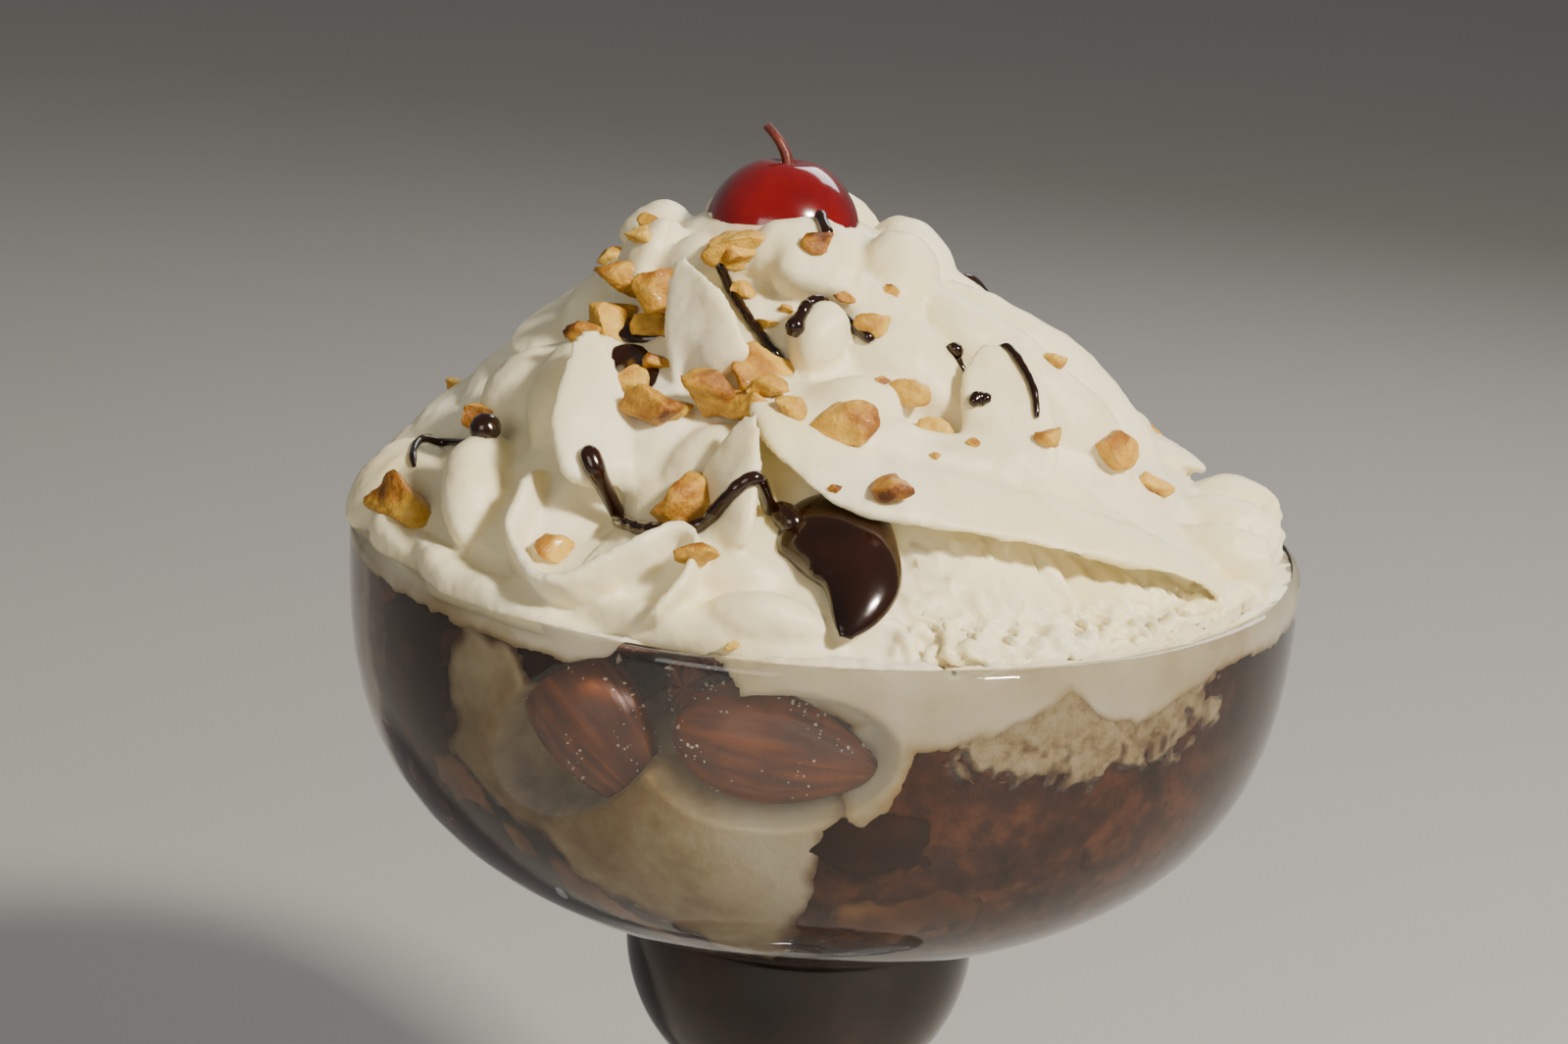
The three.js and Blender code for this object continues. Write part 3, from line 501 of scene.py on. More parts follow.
def front_presence(angle, level):
    wobble = 1.5 * lump_noise(angle, level, 7, 1.0) + 0.6 * lump_noise(angle, level, 2.5, 2.0)
    low = level - read_off(FRONT_LOW, angle)
    left = (angle + 46 - 0.18 * (level + 20)) * 0.95
    right = (4.5 + 0.24 * (level + 14) - angle) * 0.95 if level < -14 else 20
    high = read_off(FRONT_HIGH, angle) - level
    return min(low, left, right, high) * 0.5 + wobble


def bleeding(inner_look, stain, reach, cloud_scale):
    """A look that is stained near the edge of its body, where it melts into what lies beside it."""
    def look(nodes, links, place):
        inside, height, depth, gloss = inner_look(nodes, links, place)
        cloud = grain(nodes, links, place, cloud_scale, 6, 0.6)
        spread = multiply_add(nodes, links, cloud, 1.6, -0.8)
        shift = multiply_add(nodes, links, painted_value(nodes, "bleed"), 1.0 / reach, spread)
        mask = rescale(nodes, links, shift, (-0.1, 0.9), (0, 1), "SMOOTHSTEP")
        return blend_colours(nodes, links, mask, stain, inside), height, depth, gloss
    return look


def shaded_ice_look(nodes, links, place):
    cloud = grain(nodes, links, place, 34, 5, 0.6)
    fine = grain(nodes, links, place, 420, 4, 0.6)
    # painted shade: the vanilla's colours are darkened from ivory to stand in for the shade it lies in below the rim
    colour = ramp(nodes, links, cloud, [(0.30, (0.14, 0.085, 0.036)), (0.42, (0.32, 0.235, 0.12)),
                                        (0.52, (0.47, 0.39, 0.24)), (0.70, (0.62, 0.56, 0.42))])
    return colour, fine, 0.0004, None


vanilla = food_material("melting_vanilla", bleeding(shaded_ice_look, (0.11, 0.045, 0.018), 1.3, 90), roughness=0.4,
                        subsurface=0.5, radius=(1, 0.8, 0.55), scale=0.003, ior=1.1)
front = pressed_body("vanilla_front", (-70, 14), (-43, -0.9), 0.6, front_presence, 14, proud=0.6, edge=1.2)
front.data.materials.append(vanilla)
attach(front, "root")
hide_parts("ice_cream_front")


def right_presence(angle, level):
    ragged = 2.2 * lump_noise(angle, level, 2.6, 4.0) + 1.4 * lump_noise(angle, level, 1.1, 5.0)
    low = level + 14.2 - 3.2 * ((angle - 31) / 18) ** 2
    side = 19 - abs(angle - 33)
    return min(low, side) * 0.5 + ragged - 0.3


# painted shade: the skirt's tan colours are darkened to stand in for the shade it lies in behind the glass
crumbly_shaded_look = clouded(300, 8, [(0.34, (0.20, 0.12, 0.05)), (0.5, (0.50, 0.38, 0.20)), (0.72, (0.74, 0.64, 0.42))],
                       0.0016, 0.7)
firm_vanilla = food_material("firm_vanilla", bleeding(crumbly_shaded_look, (0.12, 0.05, 0.018), 1.4, 260), roughness=0.5,
                             subsurface=0.35, radius=(1, 0.75, 0.5), scale=0.002)
right = pressed_body("vanilla_right", (10, 56), (-19, -0.9), 0.45, right_presence, 12, proud=0.6, edge=1.0)
right.data.materials.append(firm_vanilla)
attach(right, "root")
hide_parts("ice_cream_right")


def back_presence(angle, level):
    wobble = 1.8 * lump_noise(angle, level, 7, 6.0) + 0.7 * lump_noise(angle, level, 2.5, 7.0)
    away = math.hypot(turn_gap(angle, 205) / 26, (level + 16) / 15)
    return (1 - away) * 7 + wobble


back = pressed_body("vanilla_back", (170, 240), (-36, -0.9), 0.8, back_presence, 14, proud=0.5, edge=1.2)
back.data.materials.append(vanilla)
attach(back, "root")
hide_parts("ice_cream_back")

# The smears on the glass: melted ice cream drawn up the left wall, and runs of fudge and caramel-brown swirls.
# They are thin films, so each is a shallow body of its own against the wall.


def smear_presence(angle, level):
    wobble = 1.6 * lump_noise(angle, level, 9, 11.0) + 0.8 * lump_noise(angle, level, 2.6, 12.0)
    return min((-60 - angle) * 0.3, (angle + 104) * 0.3, (level + 31 + 0.2 * (angle + 60)) * 0.4) + wobble


film_look = clouded(70, 6, [(0.3, (0.16, 0.12, 0.08)), (0.5, (0.36, 0.31, 0.24)), (0.7, (0.58, 0.54, 0.46))], 0.0002)
milky = food_material("milky_film", bleeding(film_look, (0.06, 0.022, 0.010), 2.0, 60), roughness=0.4, subsurface=0.3,
                      scale=0.002, ior=1.1)
smear_film = pressed_body("milky_smear", (-108, -54), (-34, -0.9), 0.8, smear_presence, 3, proud=0.45, edge=0.8)
smear_film.data.materials.append(milky)
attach(smear_film, "root")


def run_presence(angle, level):
    wobble = 1.0 * lump_noise(angle, level, 4, 13.0) + 0.5 * lump_noise(angle, level, 1.6, 14.0)
    column = (7.2 - abs(angle + 52.5 - 0.1 * (level + 10))) * 0.45
    first = min(column, (-2.6 - level) * 0.5, (level + 19) * 0.5)
    second = (1 - math.hypot((angle - 7) / 6.5, (level + 20.5) / 4.2)) * 3
    return max(first, second) + wobble


runs = pressed_body("fudge_runs", (-66, 18), (-28, -1.2), 0.6, run_presence, 5, proud=0.75, edge=0.8)
runs.data.materials.append(fudge_on_glass)
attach(runs, "root")


def swirl_presence(angle, level):
    edge_level = read_off(FRONT_LOW, angle)
    under = edge_level - level
    band = 2.6 - abs(under - 2.6)
    if angle < -50:
        band = 2.4 - abs(level + 24 + 0.5 * (angle + 58))
    far = (1 - math.hypot((angle - 13) / 12, (level + 31) / 4.5)) * 3
    wobble = 1.5 * lump_noise(angle, level, 4.5, 15.0) + 0.7 * lump_noise(angle, level, 1.8, 16.0)
    return max(min(band, (-8 - angle) * 0.4) * 0.55, far) + wobble - 0.35


swirl_look = clouded(90, 5, [(0.3, (0.035, 0.011, 0.004)), (0.5, (0.12, 0.042, 0.013)), (0.72, (0.26, 0.12, 0.045))],
                     0.0002)
swirl_sauce = food_material("fudge_and_cream_swirl", bleeding(swirl_look, (0.03, 0.009, 0.004), 1.0, 120),
                            roughness=0.4, subsurface=0.2, scale=0.002, ior=1.1)
swirls = pressed_body("brown_swirls", (-66, 28), (-43, -14), 0.7, swirl_presence, 4, proud=0.5, edge=0.7)
swirls.data.materials.append(swirl_sauce)
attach(swirls, "root")

# The brownie and fudge that fill the bowl: chunks of dark cake soaked with sauce, pressed against the glass.
# The mass is one closed body whose side is drawn on the wall: angle and level set how far each part presses into it.


def brownie_look(nodes, links, place):
    cake = grain(nodes, links, place, 150, 8, 0.65)
    patch = grain(nodes, links, place, 26, 3)
    crumb = ramp(nodes, links, cake, [(0.32, (0.012, 0.004, 0.002)), (0.5, (0.060, 0.017, 0.007)),
                                      (0.68, (0.16, 0.050, 0.018))])
    wet = ramp(nodes, links, cake, [(0.3, (0.008, 0.003, 0.0015)), (0.7, (0.030, 0.009, 0.004))])
    mask = ramp(nodes, links, patch, [(0.44, (0, 0, 0)), (0.56, (1, 1, 1))])
    gloss = rescale(nodes, links, mask, (0, 1), (0.16, 0.62))
    return blend_colours(nodes, links, mask, wet, crumb), cake, 0.0012, gloss


brownie = food_material("fudge_soaked_brownie", brownie_look, subsurface=0.06, radius=(1, 0.4, 0.2), scale=0.0015,
                        ior=1.12)


def brownie_presence(angle, level):
    hollow = lump_noise(angle, level, 5.5, 3.0) + 0.5 * lump_noise(angle, level, 2.2, 9.0)
    return 1.2 - 2.2 * max(0.0, hollow - 0.22)


def under_ice(angle, level):
    """How far the brownie stands back where an ice cream covers it."""
    front_cover = front_presence(angle, level) if -70 < angle < 14 else -1
    right_cover = right_presence(angle, level) if 10 < angle < 56 else -1
    return 4.5 * step_up(0.1, 0.9, max(front_cover, right_cover))


ring = pressed_body("brownie_and_fudge", (-180, 180), (-45.5, -0.9), 0.8, brownie_presence, 18, rest=1.6,
                    behind=under_ice)
ring.data.materials.append(brownie)
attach(ring, "root")
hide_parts("brownie")

# The whipped cream: piped from a star nozzle in wide ribbons over a soft mound, so folds have thin rolled lips.
# The mound and its folds are shaped one by one and melted together, then the cream's fine unevenness is added.
MOUND = ((-14, 56), (-2, 57.5), (4, 56), (10, 48), (22, 34), (30, 24), (37, 16), (41, 9), (43, 0.2))  # level, radius
LEAN, TOP = -9.0, 43.0  # how far the mound leans to the side at its top level


def mound_radius(level):
    return read_off(MOUND, level)


def mound_shift(level):
    return LEAN * min(TOP, max(0.0, level)) / TOP


def on_mound(angle, level, out=0.0):
    """A place on the mound in millimetres, and the way out of the cream there."""
    a = math.radians(angle)
    slope = (mound_radius(level - 1.5) - mound_radius(level + 1.5)) / 3
    away = Vector((math.sin(a), -math.cos(a), slope)).normalized()
    radius = mound_radius(level)
    spot = Vector((mound_shift(level) + radius * math.sin(a), -radius * math.cos(a), RIM_HEIGHT + level))
    return spot + away * out, away


def smooth_path(points, t):
    """A point at share t along a smooth curve through the points."""
    span = t * (len(points) - 1)
    i = min(int(span), len(points) - 2)
    u = span - i
    p1, p2 = points[i], points[i + 1]
    p0 = points[i - 1] if i > 0 else p1 + (p1 - p2)
    p3 = points[i + 2] if i + 2 < len(points) else p2 + (p2 - p1)
    square, cube = 2 * p0 - 5 * p1 + 4 * p2 - p3, 3 * p1 - p0 - 3 * p2 + p3
    return 0.5 * ((2 * p1) + (p2 - p0) * u + square * u * u + cube * u ** 3)


# cross-sections of a fold, as shares of its half width and half height: a round roll, a standing lip, a ribbon whose
# one side hangs free, and a thin petal
ROUND = [(math.sin(math.tau * i / 20), math.cos(math.tau * i / 20)) for i in range(20)]
BLADE = [(0, 1), (0.24, 0.93), (0.34, 0.72), (0.38, 0.35), (0.5, -0.1), (0.78, -0.6), (1.1, -1.0),
         (-1.1, -1.0), (-0.78, -0.6), (-0.5, -0.1), (-0.38, 0.35), (-0.34, 0.72), (-0.24, 0.93)]
SHELF = [(-1.0, 0.1), (-0.6, 0.34), (-0.1, 0.44), (0.4, 0.36), (0.8, 0.2), (0.98, 0.06), (1.04, -0.06), (0.98, -0.18),
         (0.8, -0.2), (0.4, -0.2), (0.05, -0.3), (-0.2, -0.6), (-0.3, -1.0), (-1.0, -1.0)]
PETAL = [(0, 1), (0.5, 0.95), (0.82, 0.78), (0.97, 0.4), (1.0, 0), (0.97, -0.4), (0.82, -0.78), (0.5, -0.95), (0, -1),
         (-0.5, -0.95), (-0.82, -0.78), (-0.97, -0.4), (-1.0, 0), (-0.97, 0.4), (-0.82, 0.78), (-0.5, 0.95)]


def fold(path, width, height, lean=0.0, out=0.0, section=ROUND, ends=(0.5, 0.5), steps=40, wave=0.0, waves=2.0, seed=0):
    """A fold of cream along its path; width is across and height is outwards, both half sizes.

    The path holds angles and levels, and a third number where it stands further out. Ends are the shares of its length
    over which it tapers, and lean turns it about its path.
    """
    stops = [on_mound(point[0], point[1], out + (point[2] if len(point) > 2 else 0)) for point in path]
    places, aways = [s[0] for s in stops], [s[1] for s in stops]
    mesh = bmesh.new()
    rings = []
    for i in range(steps + 1):
        t = i / steps
        centre = smooth_path(places, t)
        tangent = (smooth_path(places, min(1, t + 0.01)) - smooth_path(places, max(0, t - 0.01))).normalized()
        away = smooth_path(aways, t).normalized()
        turn = Matrix.Rotation(math.radians(-lean), 3, tangent)
        crest = turn @ away
        side = turn @ tangent.cross(away).normalized()
        first = max(0.02, math.sin(math.pi * min(0.5, t * 0.5 / ends[0])))
        last = max(0.02, math.sin(math.pi * min(0.5, (1 - t) * 0.5 / ends[1])))
        size = first ** 0.6 * last ** 0.6
        sway = (wave * math.sin(math.tau * waves * t + seed)
                + 0.25 * height * noise.noise(centre / 7 + Vector((seed, 0, 0))))
        ring = []
        for u, v in section:
            aside = u * width * size + (sway if v > 0 else sway * 0.4)
            ring.append(mesh.verts.new((centre + side * aside + crest * v * height * size) * MM))
        rings.append(ring)
    count = len(section)
    for one, two in zip(rings, rings[1:]):
        for j in range(count):
            mesh.faces.new((one[j], one[(j + 1) % count], two[(j + 1) % count], two[j]))
    mesh.faces.new(rings[0][::-1])
    mesh.faces.new(rings[-1])
    bmesh.ops.recalc_face_normals(mesh, faces=mesh.faces)
    data = bpy.data.meshes.new("fold")
    mesh.to_mesh(data)
    mesh.free()
    piece = bpy.data.objects.new("fold", data)
    bpy.context.collection.objects.link(piece)
    return piece


heap_parts = [
    # the left lobe over the rim, and the folds behind it
    fold([(-88, 0), (-79, 4.5), (-71, 9.5)], 9.2, 7.0, out=-4.2),
    fold([(-49, 5), (-54, 9.5), (-60, 14.5)], 3.8, 5.4, out=-1.6),
    fold([(-66, 13), (-68, 19), (-64, 26)], 7, 6, out=-4.2),
    fold([(-52, 15.5), (-54, 22), (-51, 28)], 5.2, 5, out=-2.6),
    # the apron, whose overlapping lobes hang over the rim
    fold([(-86, 1.6), (-76, 0.2), (-67, -1.2)], 2.6, 3.8, out=-1.6, section=PETAL),
    fold([(-74, 2.8), (-64, 0.9), (-54, -1.0)], 2.7, 3.9, out=-1.5, section=PETAL),
    fold([(-62, 2.6), (-48, 0.4), (-34, -0.6), (-24, -0.6)], 2.8, 3.9, out=-1.6, section=PETAL),
    fold([(-36, 1.2), (-22, 1.0), (-8, 0.8), (4, 0.8)], 3.0, 4.0, out=-3.6, section=PETAL),
    fold([(-14, 4.2), (-6, 4.6), (2, 4.0)], 3.2, 3.6, out=-2.6),
    fold([(4, 0.2), (22, 0.6), (40, 0.0), (58, 0.8), (74, 0.2), (90, 0.8)], 2.2, 3.8, out=-2.4, wave=1.0, waves=6),
    # the thin ribbon that curls round a hollow
    fold([(-44, 14), (-42.5, 9.2), (-38.5, 5.4), (-32.5, 3.9), (-26.5, 4.8), (-21.5, 7.6), (-17.5, 9.9), (-14.6, 9.0),
          (-15.4, 6.0), (-18.5, 3.2), (-21.5, 1.2)], 2.2, 6.4, lean=8, out=-3.4, section=BLADE, ends=(0.1, 0.1),
         steps=100),
    # petals that the nozzle left standing, each a thin sheet with a free tip
    fold([(-30, 13.5, -1), (-35, 17, 1.6), (-39.5, 20.5, 3.2), (-44.5, 24.5, 5.0)],
         5.6, 1.2, lean=-34, section=PETAL, ends=(0.12, 0.95)),
    fold([(-17, 24.5, -1), (-21.5, 27.4, 1.4), (-26.5, 30, 3.2), (-31.5, 32.8, 4.8)],
         5.4, 1.15, lean=28, section=PETAL, ends=(0.12, 0.95)),
    fold([(-13, 9.5, -1.6), (-11.5, 12.8, 0.8), (-9.6, 16, 2.8), (-7.2, 19.2, 4.6)],
         5.4, 1.15, lean=28, section=PETAL, ends=(0.12, 0.9)),
    fold([(37, 15.5, -1), (40.5, 19.5, 1.4), (43.5, 23.0, 3.0), (45.0, 26.0, 4.2)],
         5.2, 1.1, lean=24, section=PETAL, ends=(0.15, 0.45)),
    fold([(-62, 31, -1), (-60, 34.5, 1.0), (-58, 37.6, 1.8)], 3.6, 1.8, section=PETAL, ends=(0.15, 0.8)),
    fold([(-33, 13), (-29, 19), (-27, 24)], 5.5, 4, out=-4.2),
    fold([(-24, 14.5), (-16, 18), (-11, 22)], 5.0, 4.5, out=-4.2),
    fold([(-26, 10.5), (-16, 9.6), (-8, 8.6), (-1, 8.0)], 3.6, 3.8, out=-3.6),
    # the middle and the right face
    fold([(-5, 23), (10, 23), (28, 24.5)], 5, 4.5, out=-2.5),
    fold([(2, 26), (10, 29.4), (18, 30.2)], 3.8, 4.8, out=-1.3),
    fold([(24, 38), (32, 33), (38, 27), (42, 20)], 5.0, 4.6, out=-3.6),
    fold([(54, 35), (60, 28), (65, 20), (68, 14)], 6, 5.8, out=-2.2),
    fold([(80, 35), (84, 27), (88, 20), (87, 12)], 6.4, 6, out=-3),
    fold([(20, 31), (30, 28), (38, 23)], 5, 4, out=-2.6),
    # the wide ribbon across the front right, whose lip hangs over a hollow
    fold([(-2, 22), (8, 21), (22, 19.6), (34, 17.4), (46, 13.4), (57, 8)], 4.2, 4.4, out=-3.4, ends=(0.3, 0.25)),
    fold([(-1, 26), (1.5, 22.5), (5, 19), (10, 16.6), (17, 15.6), (26, 14.6), (36, 12.7), (46, 10), (55, 6.2),
          (63, 0.4)], 6.6, 4.4, lean=22, out=-0.4, section=SHELF, ends=(0.12, 0.3), steps=110),
    # low lobes at the right
    fold([(66, 9), (69, 4.5), (67, 0)], 4, 5.4, out=-2.5),
    fold([(77, 10), (79, 5), (77, 0.4)], 5, 5.5, out=-2.3),
    fold([(92, 9), (94, 4.5), (90, 0.4)], 6, 5.5, out=-2.3),
]
# the grooved wall that the nozzle's teeth left under the ribbon
for i in range(11):
    x = 4.3 * i
    groove_path = [(11 + x, 11 - 0.6 * i, -0.6), (13.5 + x, 5.8 - 0.35 * i, 0.2), (9 + x, -0.6, 1.6)]
    heap_parts.append(fold(groove_path, 1.4, 3.2, lean=-25, out=-5.0, section=BLADE if i % 2 else PETAL,
                           ends=(0.3, 0.3), steps=24, seed=i))
# the nest round the foot of the cherry: one broad petal in front, and rounder ends behind
heap_parts.append(fold([(-14, 35.5), (1, 37.4), (16, 37.4), (28, 36)], 3.9, 3.8, out=-0.8, ends=(0.35, 0.3)))
heap_parts.append(fold([(8, 33, -0.5), (14, 36, 1.0), (20, 39.5, 1.6)], 5.2, 2.0, section=PETAL, ends=(0.12, 0.4)))
for i, (angle, level, size) in enumerate(((-40, 36.4, 3.0), (-20, 36.8, 3.0), (120, 35, 4.6), (160, 36.6, 5),
                                          (206, 36.2, 5), (252, 35.2, 4.8), (290, 36, 3.6))):
    heap_parts.append(fold([(angle - 16, level - 3.5), (angle, level), (angle + 16, level + 1)], size, size, out=-1.8,
                           section=PETAL if i % 2 else ROUND, steps=24, seed=i))
heap_parts.append(fold([(36, 31.5), (52, 34.5), (72, 36), (100, 35)], 5.4, 4.8, out=-2.4, seed=4))
# behind, ribbons like the front one run on in three slanting tiers, each with a free lip over the tier below
draw = random.Random(41)
for level, rise, count, start, step, size in ((1.5, 9, 4, 96, 42, 1.0), (12, 10, 4, 90, 43, 0.95),
                                              (23.5, 9, 4, 98, 42, 0.85)):
    for i in range(count):
        angle, low = start + i * step + 6 * draw.random(), level + 1.8 * draw.random()
        run = [(angle, low + rise), (angle + 13, low + rise * 0.82), (angle + 28, low + rise * 0.42), (angle + 43, low),
               (angle + 52, low - 2.5)]
        heap_parts.append(fold(run, 6.4 * size, 4.2 * size, lean=18 + 8 * draw.random(), out=-1.2, section=SHELF,
                               ends=(0.2, 0.3), steps=60, seed=i))
        heap_parts.append(fold([(a, z + 3.6) for a, z in run], 5.2 * size, 4.6 * size, out=-3.2, ends=(0.3, 0.3),
                               seed=i + 9))

core_rings = [(max(0.3, mound_radius(z) - 3.5), RIM_HEIGHT + z)
              for z in (-4, -2, 1, 4, 7, 10, 16, 22, 26, 30, 34, 37, 39.5)]
core = raise_rings("cream_core", core_rings, 96)
for vertex in core.data.vertices:
    vertex.co.x += mound_shift(vertex.co.z / MM - RIM_HEIGHT) * MM


def pick(pieces):
    """Selects the pieces, the first of them as the active one."""
    bpy.ops.object.select_all(action="DESELECT")
    for piece in pieces:
        piece.select_set(True)
    bpy.context.view_layer.objects.active = pieces[0]


pick([core] + heap_parts)
bpy.ops.object.join()
cream = bpy.context.object
cream.name = "whipped_cream_heap"
melt = cream.modifiers.new("melt", "REMESH")
melt.mode = "VOXEL"
melt.voxel_size = 0.55 * MM
bpy.ops.object.modifier_apply(modifier="melt")
soften = cream.modifiers.new("soften", "SMOOTH")
soften.factor = 0.5
soften.iterations = 2
bpy.ops.object.modifier_apply(modifier="soften")
thin = cream.modifiers.new("thin", "DECIMATE")
thin.ratio = 0.66
bpy.ops.object.modifier_apply(modifier="thin")

# hollows between the folds: angle, level, half width, half height, depth
HOLLOWS = ((-33, 9.6, 6.0, 3.4, 3.4), (-15, 13.6, 4.5, 2.6, 1.6), (-66, 11, 3.5, 4, 1.5), (1, 25.4, 7, 2, 1.8),
           (28, 20.6, 9, 1.8, 2.0), (-44, 17, 3, 5, 2.0), (-24, 24, 4, 3, 1.6), (52, 17, 4, 5, 1.6),
           (14, 9.2, 8, 2.0, 1.6), (34, 6.8, 9, 1.8, 1.6), (-4, 33.5, 6, 2.2, 1.6))
# the free edge of the wide ribbon, as angle and level; the cream is torn below it
LIP_LINE = ((-5, 20), (0, 13.5), (5, 11.6), (16, 10.6), (25, 10.2), (35, 8.4), (43, 6.8), (52, 4.6), (58, 2.2),
            (63, -1))
# how far out the cream may reach inside the rim, and how much more where it spills over it and higher up
INSIDE_RIM, SPILL, ABOVE_RIM = 57.2, 3.6, 1.6
outwards = [vertex.normal.copy() for vertex in cream.data.vertices]
for vertex in cream.data.vertices:
    spot = vertex.co / MM
    level = spot.z - RIM_HEIGHT
    angle = math.degrees(math.atan2(spot.x - mound_shift(level), -spot.y))
    swell = 0.42 * noise.noise(spot / 8) + 0.26 * noise.noise(spot / 3.1) + 0.10 * noise.noise(spot / 1.2)
    # torn and grooved under the lip of the wide ribbon, and crumbled in the low lobes at the right
    lip = read_off(LIP_LINE, angle)
    proud = math.hypot(spot.x - mound_shift(level), spot.y) - mound_radius(level)
    behind_lip = (1 - step_up(lip, lip + 1.5, level)) * (1 - step_up(0.6, 1.6, proud))
    under_lip = max(behind_lip, 1 - step_up(lip - 3.2, lip - 2.0, level))
    torn = step_up(7, 12, angle) * (1 - step_up(60, 66, angle)) * under_lip
    groove = math.sin(1.15 * (angle * 0.95 + level * 1.1) + 5 * noise.noise(spot / 6))
    swell += torn * (1.1 * abs(groove) - 0.6 - 0.8 * step_up(1.5, 5, level) + 0.7 * noise.noise(spot / 1.7)
                     + 0.3 * noise.noise(spot / 0.8))
    crumbled = step_up(64, 72, angle) * (1 - step_up(100, 112, angle)) * (1 - step_up(5, 9, level))
    swell += crumbled * (0.6 * noise.noise(spot / 1.5) + 0.3 * noise.noise(spot / 0.8))
    spot += outwards[vertex.index] * swell
    # pressed in at the hollows in front
    for hollow_angle, hollow_level, wide, tall, deep in HOLLOWS:
        far = math.hypot(turn_gap(angle, hollow_angle) / wide, (level - hollow_level) / tall)
        if far < 1.6 and spot.y < 0:
            inwards = Vector((math.sin(math.radians(angle)), -math.cos(math.radians(angle)), 0.6))
            spot -= inwards * deep * math.exp(-1.6 * far * far)
    # held in by the rim, except where a lobe spills over it
    radius = math.hypot(spot.x, spot.y)
    angle = math.degrees(math.atan2(spot.x, -spot.y))
    spill = min(step_up(-104, -92, angle), 1 - step_up(-30, -20, angle))
    limit = INSIDE_RIM + SPILL * spill * step_up(-3.2, 1.0, level) + ABOVE_RIM * step_up(1.0, 4.0, level)
    if radius > limit:
        spot.x *= limit / radius
        spot.y *= limit / radius
    vertex.co = spot * MM
bpy.ops.object.shade_smooth()


def cream_look(nodes, links, place):
    cloud = grain(nodes, links, place, 60, 3)
    fine = grain(nodes, links, place, 520, 5, 0.55)
    pit = nodes.new("ShaderNodeTexVoronoi")
    pit.inputs["Scale"].default_value = 700
    links.new(place, pit.inputs["Vector"])
    rough = multiply_add(nodes, links, pit.outputs["Distance"], 0.25, fine)
    plain = ramp(nodes, links, cloud, [(0.3, (0.80, 0.71, 0.42)), (0.55, (0.84, 0.77, 0.53)),
                                       (0.75, (0.88, 0.83, 0.65))])
    # the cherry's syrup stains the cream beside it
    away = nodes.new("ShaderNodeVectorMath")
    away.operation = "DISTANCE"
    away.inputs[1].default_value = (-0.0135, -0.0115, 0.1890)
    links.new(place, away.inputs[0])
    stain = rescale(nodes, links, away.outputs["Value"], (0.0012, 0.0048), (0.55, 0.0))
    colour = blend_colours(nodes, links, stain, plain, (0.75, 0.16, 0.12))
    return colour, rough, 0.00012, rescale(nodes, links, cloud, (0.0, 1.0), (0.36, 0.58))


whipped = food_material("whipped_cream", cream_look, subsurface=0.6, radius=(1, 0.86, 0.5), scale=0.0014)
cream.data.materials.append(whipped)
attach(cream, "root")
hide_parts("whipped_cream")

# The cream that sags inside the bowl: it lies on the filling, and its wavy hem shows through the glass. It is a thin
# body pressed on the wall like the ice creams, in darker tan colours that are painted shade behind the glass, and
# browner near its edge.
HEM = ((-180, -4), (-155, -3.4), (-130, -4.6), (-110, -6), (-90, -3.4), (-60, -2.8), (-45, -3.2), (-30, -3.4),
       (-25, -4.4), (-22, -6), (-20, -5), (-15, -3.4), (-10, -5), (-5, -5.6), (0, -7), (5, -8.6), (10, -9.4), (15, -9),
       (20, -7.6), (25, -5.4), (28, -3.4), (33, -7.5), (38, -8.4), (42, -6.8), (48, -5), (55, -4), (75, -4.5),
       (96, -6), (120, -4), (150, -7), (165, -4), (180, -4))  # angle, level of the edge


def hem_presence(angle, level):
    wobble = 0.5 * lump_noise(angle, level, 3.0, 21.0) + 0.35 * lump_noise(angle, level, 1.2, 22.0)
    drip = (1 - math.hypot((angle - 7.5 - 0.2 * (level + 10)) / 3.4, (level + 11.5) / 6.6)) * 3
    return max((level - read_off(HEM, angle)) * 0.8 + wobble, drip + wobble)


hem = pressed_body("cream_inside_rim", (-180, 180), (-22, -0.3), 0.55, hem_presence, 10, proud=0.9, rest=3.0)
for vertex in hem.data.vertices:
    spot = vertex.co / MM
    near_top = step_up(-2.2, -0.3, spot.z - RIM_HEIGHT)
    vertex.co.z += near_top * (0.9 * noise.noise(spot / 2.6) + 0.45 * noise.noise(spot / 0.9)) * MM
# painted shade: the hem's colours are darkened to tan to stand in for the shade behind the glass under the heap
hem_shaded_look = clouded(70, 5, [(0.3, (0.48, 0.40, 0.24)), (0.5, (0.66, 0.59, 0.42)), (0.75, (0.82, 0.77, 0.62))], 0.0004)
hem_cream = food_material("cream_on_glass", bleeding(hem_shaded_look, (0.42, 0.30, 0.15), 1.6, 110), roughness=0.45,
                          subsurface=0.5, radius=(1, 0.85, 0.5), scale=0.002, ior=1.1)
hem.data.materials.append(hem_cream)
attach(hem, "root")

# The fudge on the cream: one large drop that ran out from under the wide ribbon, a pool and a streak behind two
# petals, and threads that fell from the spoon and end in small beads. All of it lies on the cream's own surface.
bpy.context.view_layer.update()
surface = BVHTree.FromObject(cream, bpy.context.evaluated_depsgraph_get())


def land(angle, level):
    """Where a thing that comes straight in at an angle and level lands on the cream, and the way out there."""
    spot, away = on_mound(angle, level, 25)
    hit = surface.ray_cast(spot * MM, -away)
    return (hit[0] / MM if hit[0] else on_mound(angle, level)[0]), away


def fudge_roll(name, path, width, height, **how):
    """A roll of fudge along a path on the cream."""
    roll = fold(path, width, height, **how)
    roll.name = name
    pick([roll])
    bpy.ops.object.shade_smooth()
    roll.data.materials.append(fudge)
    return roll


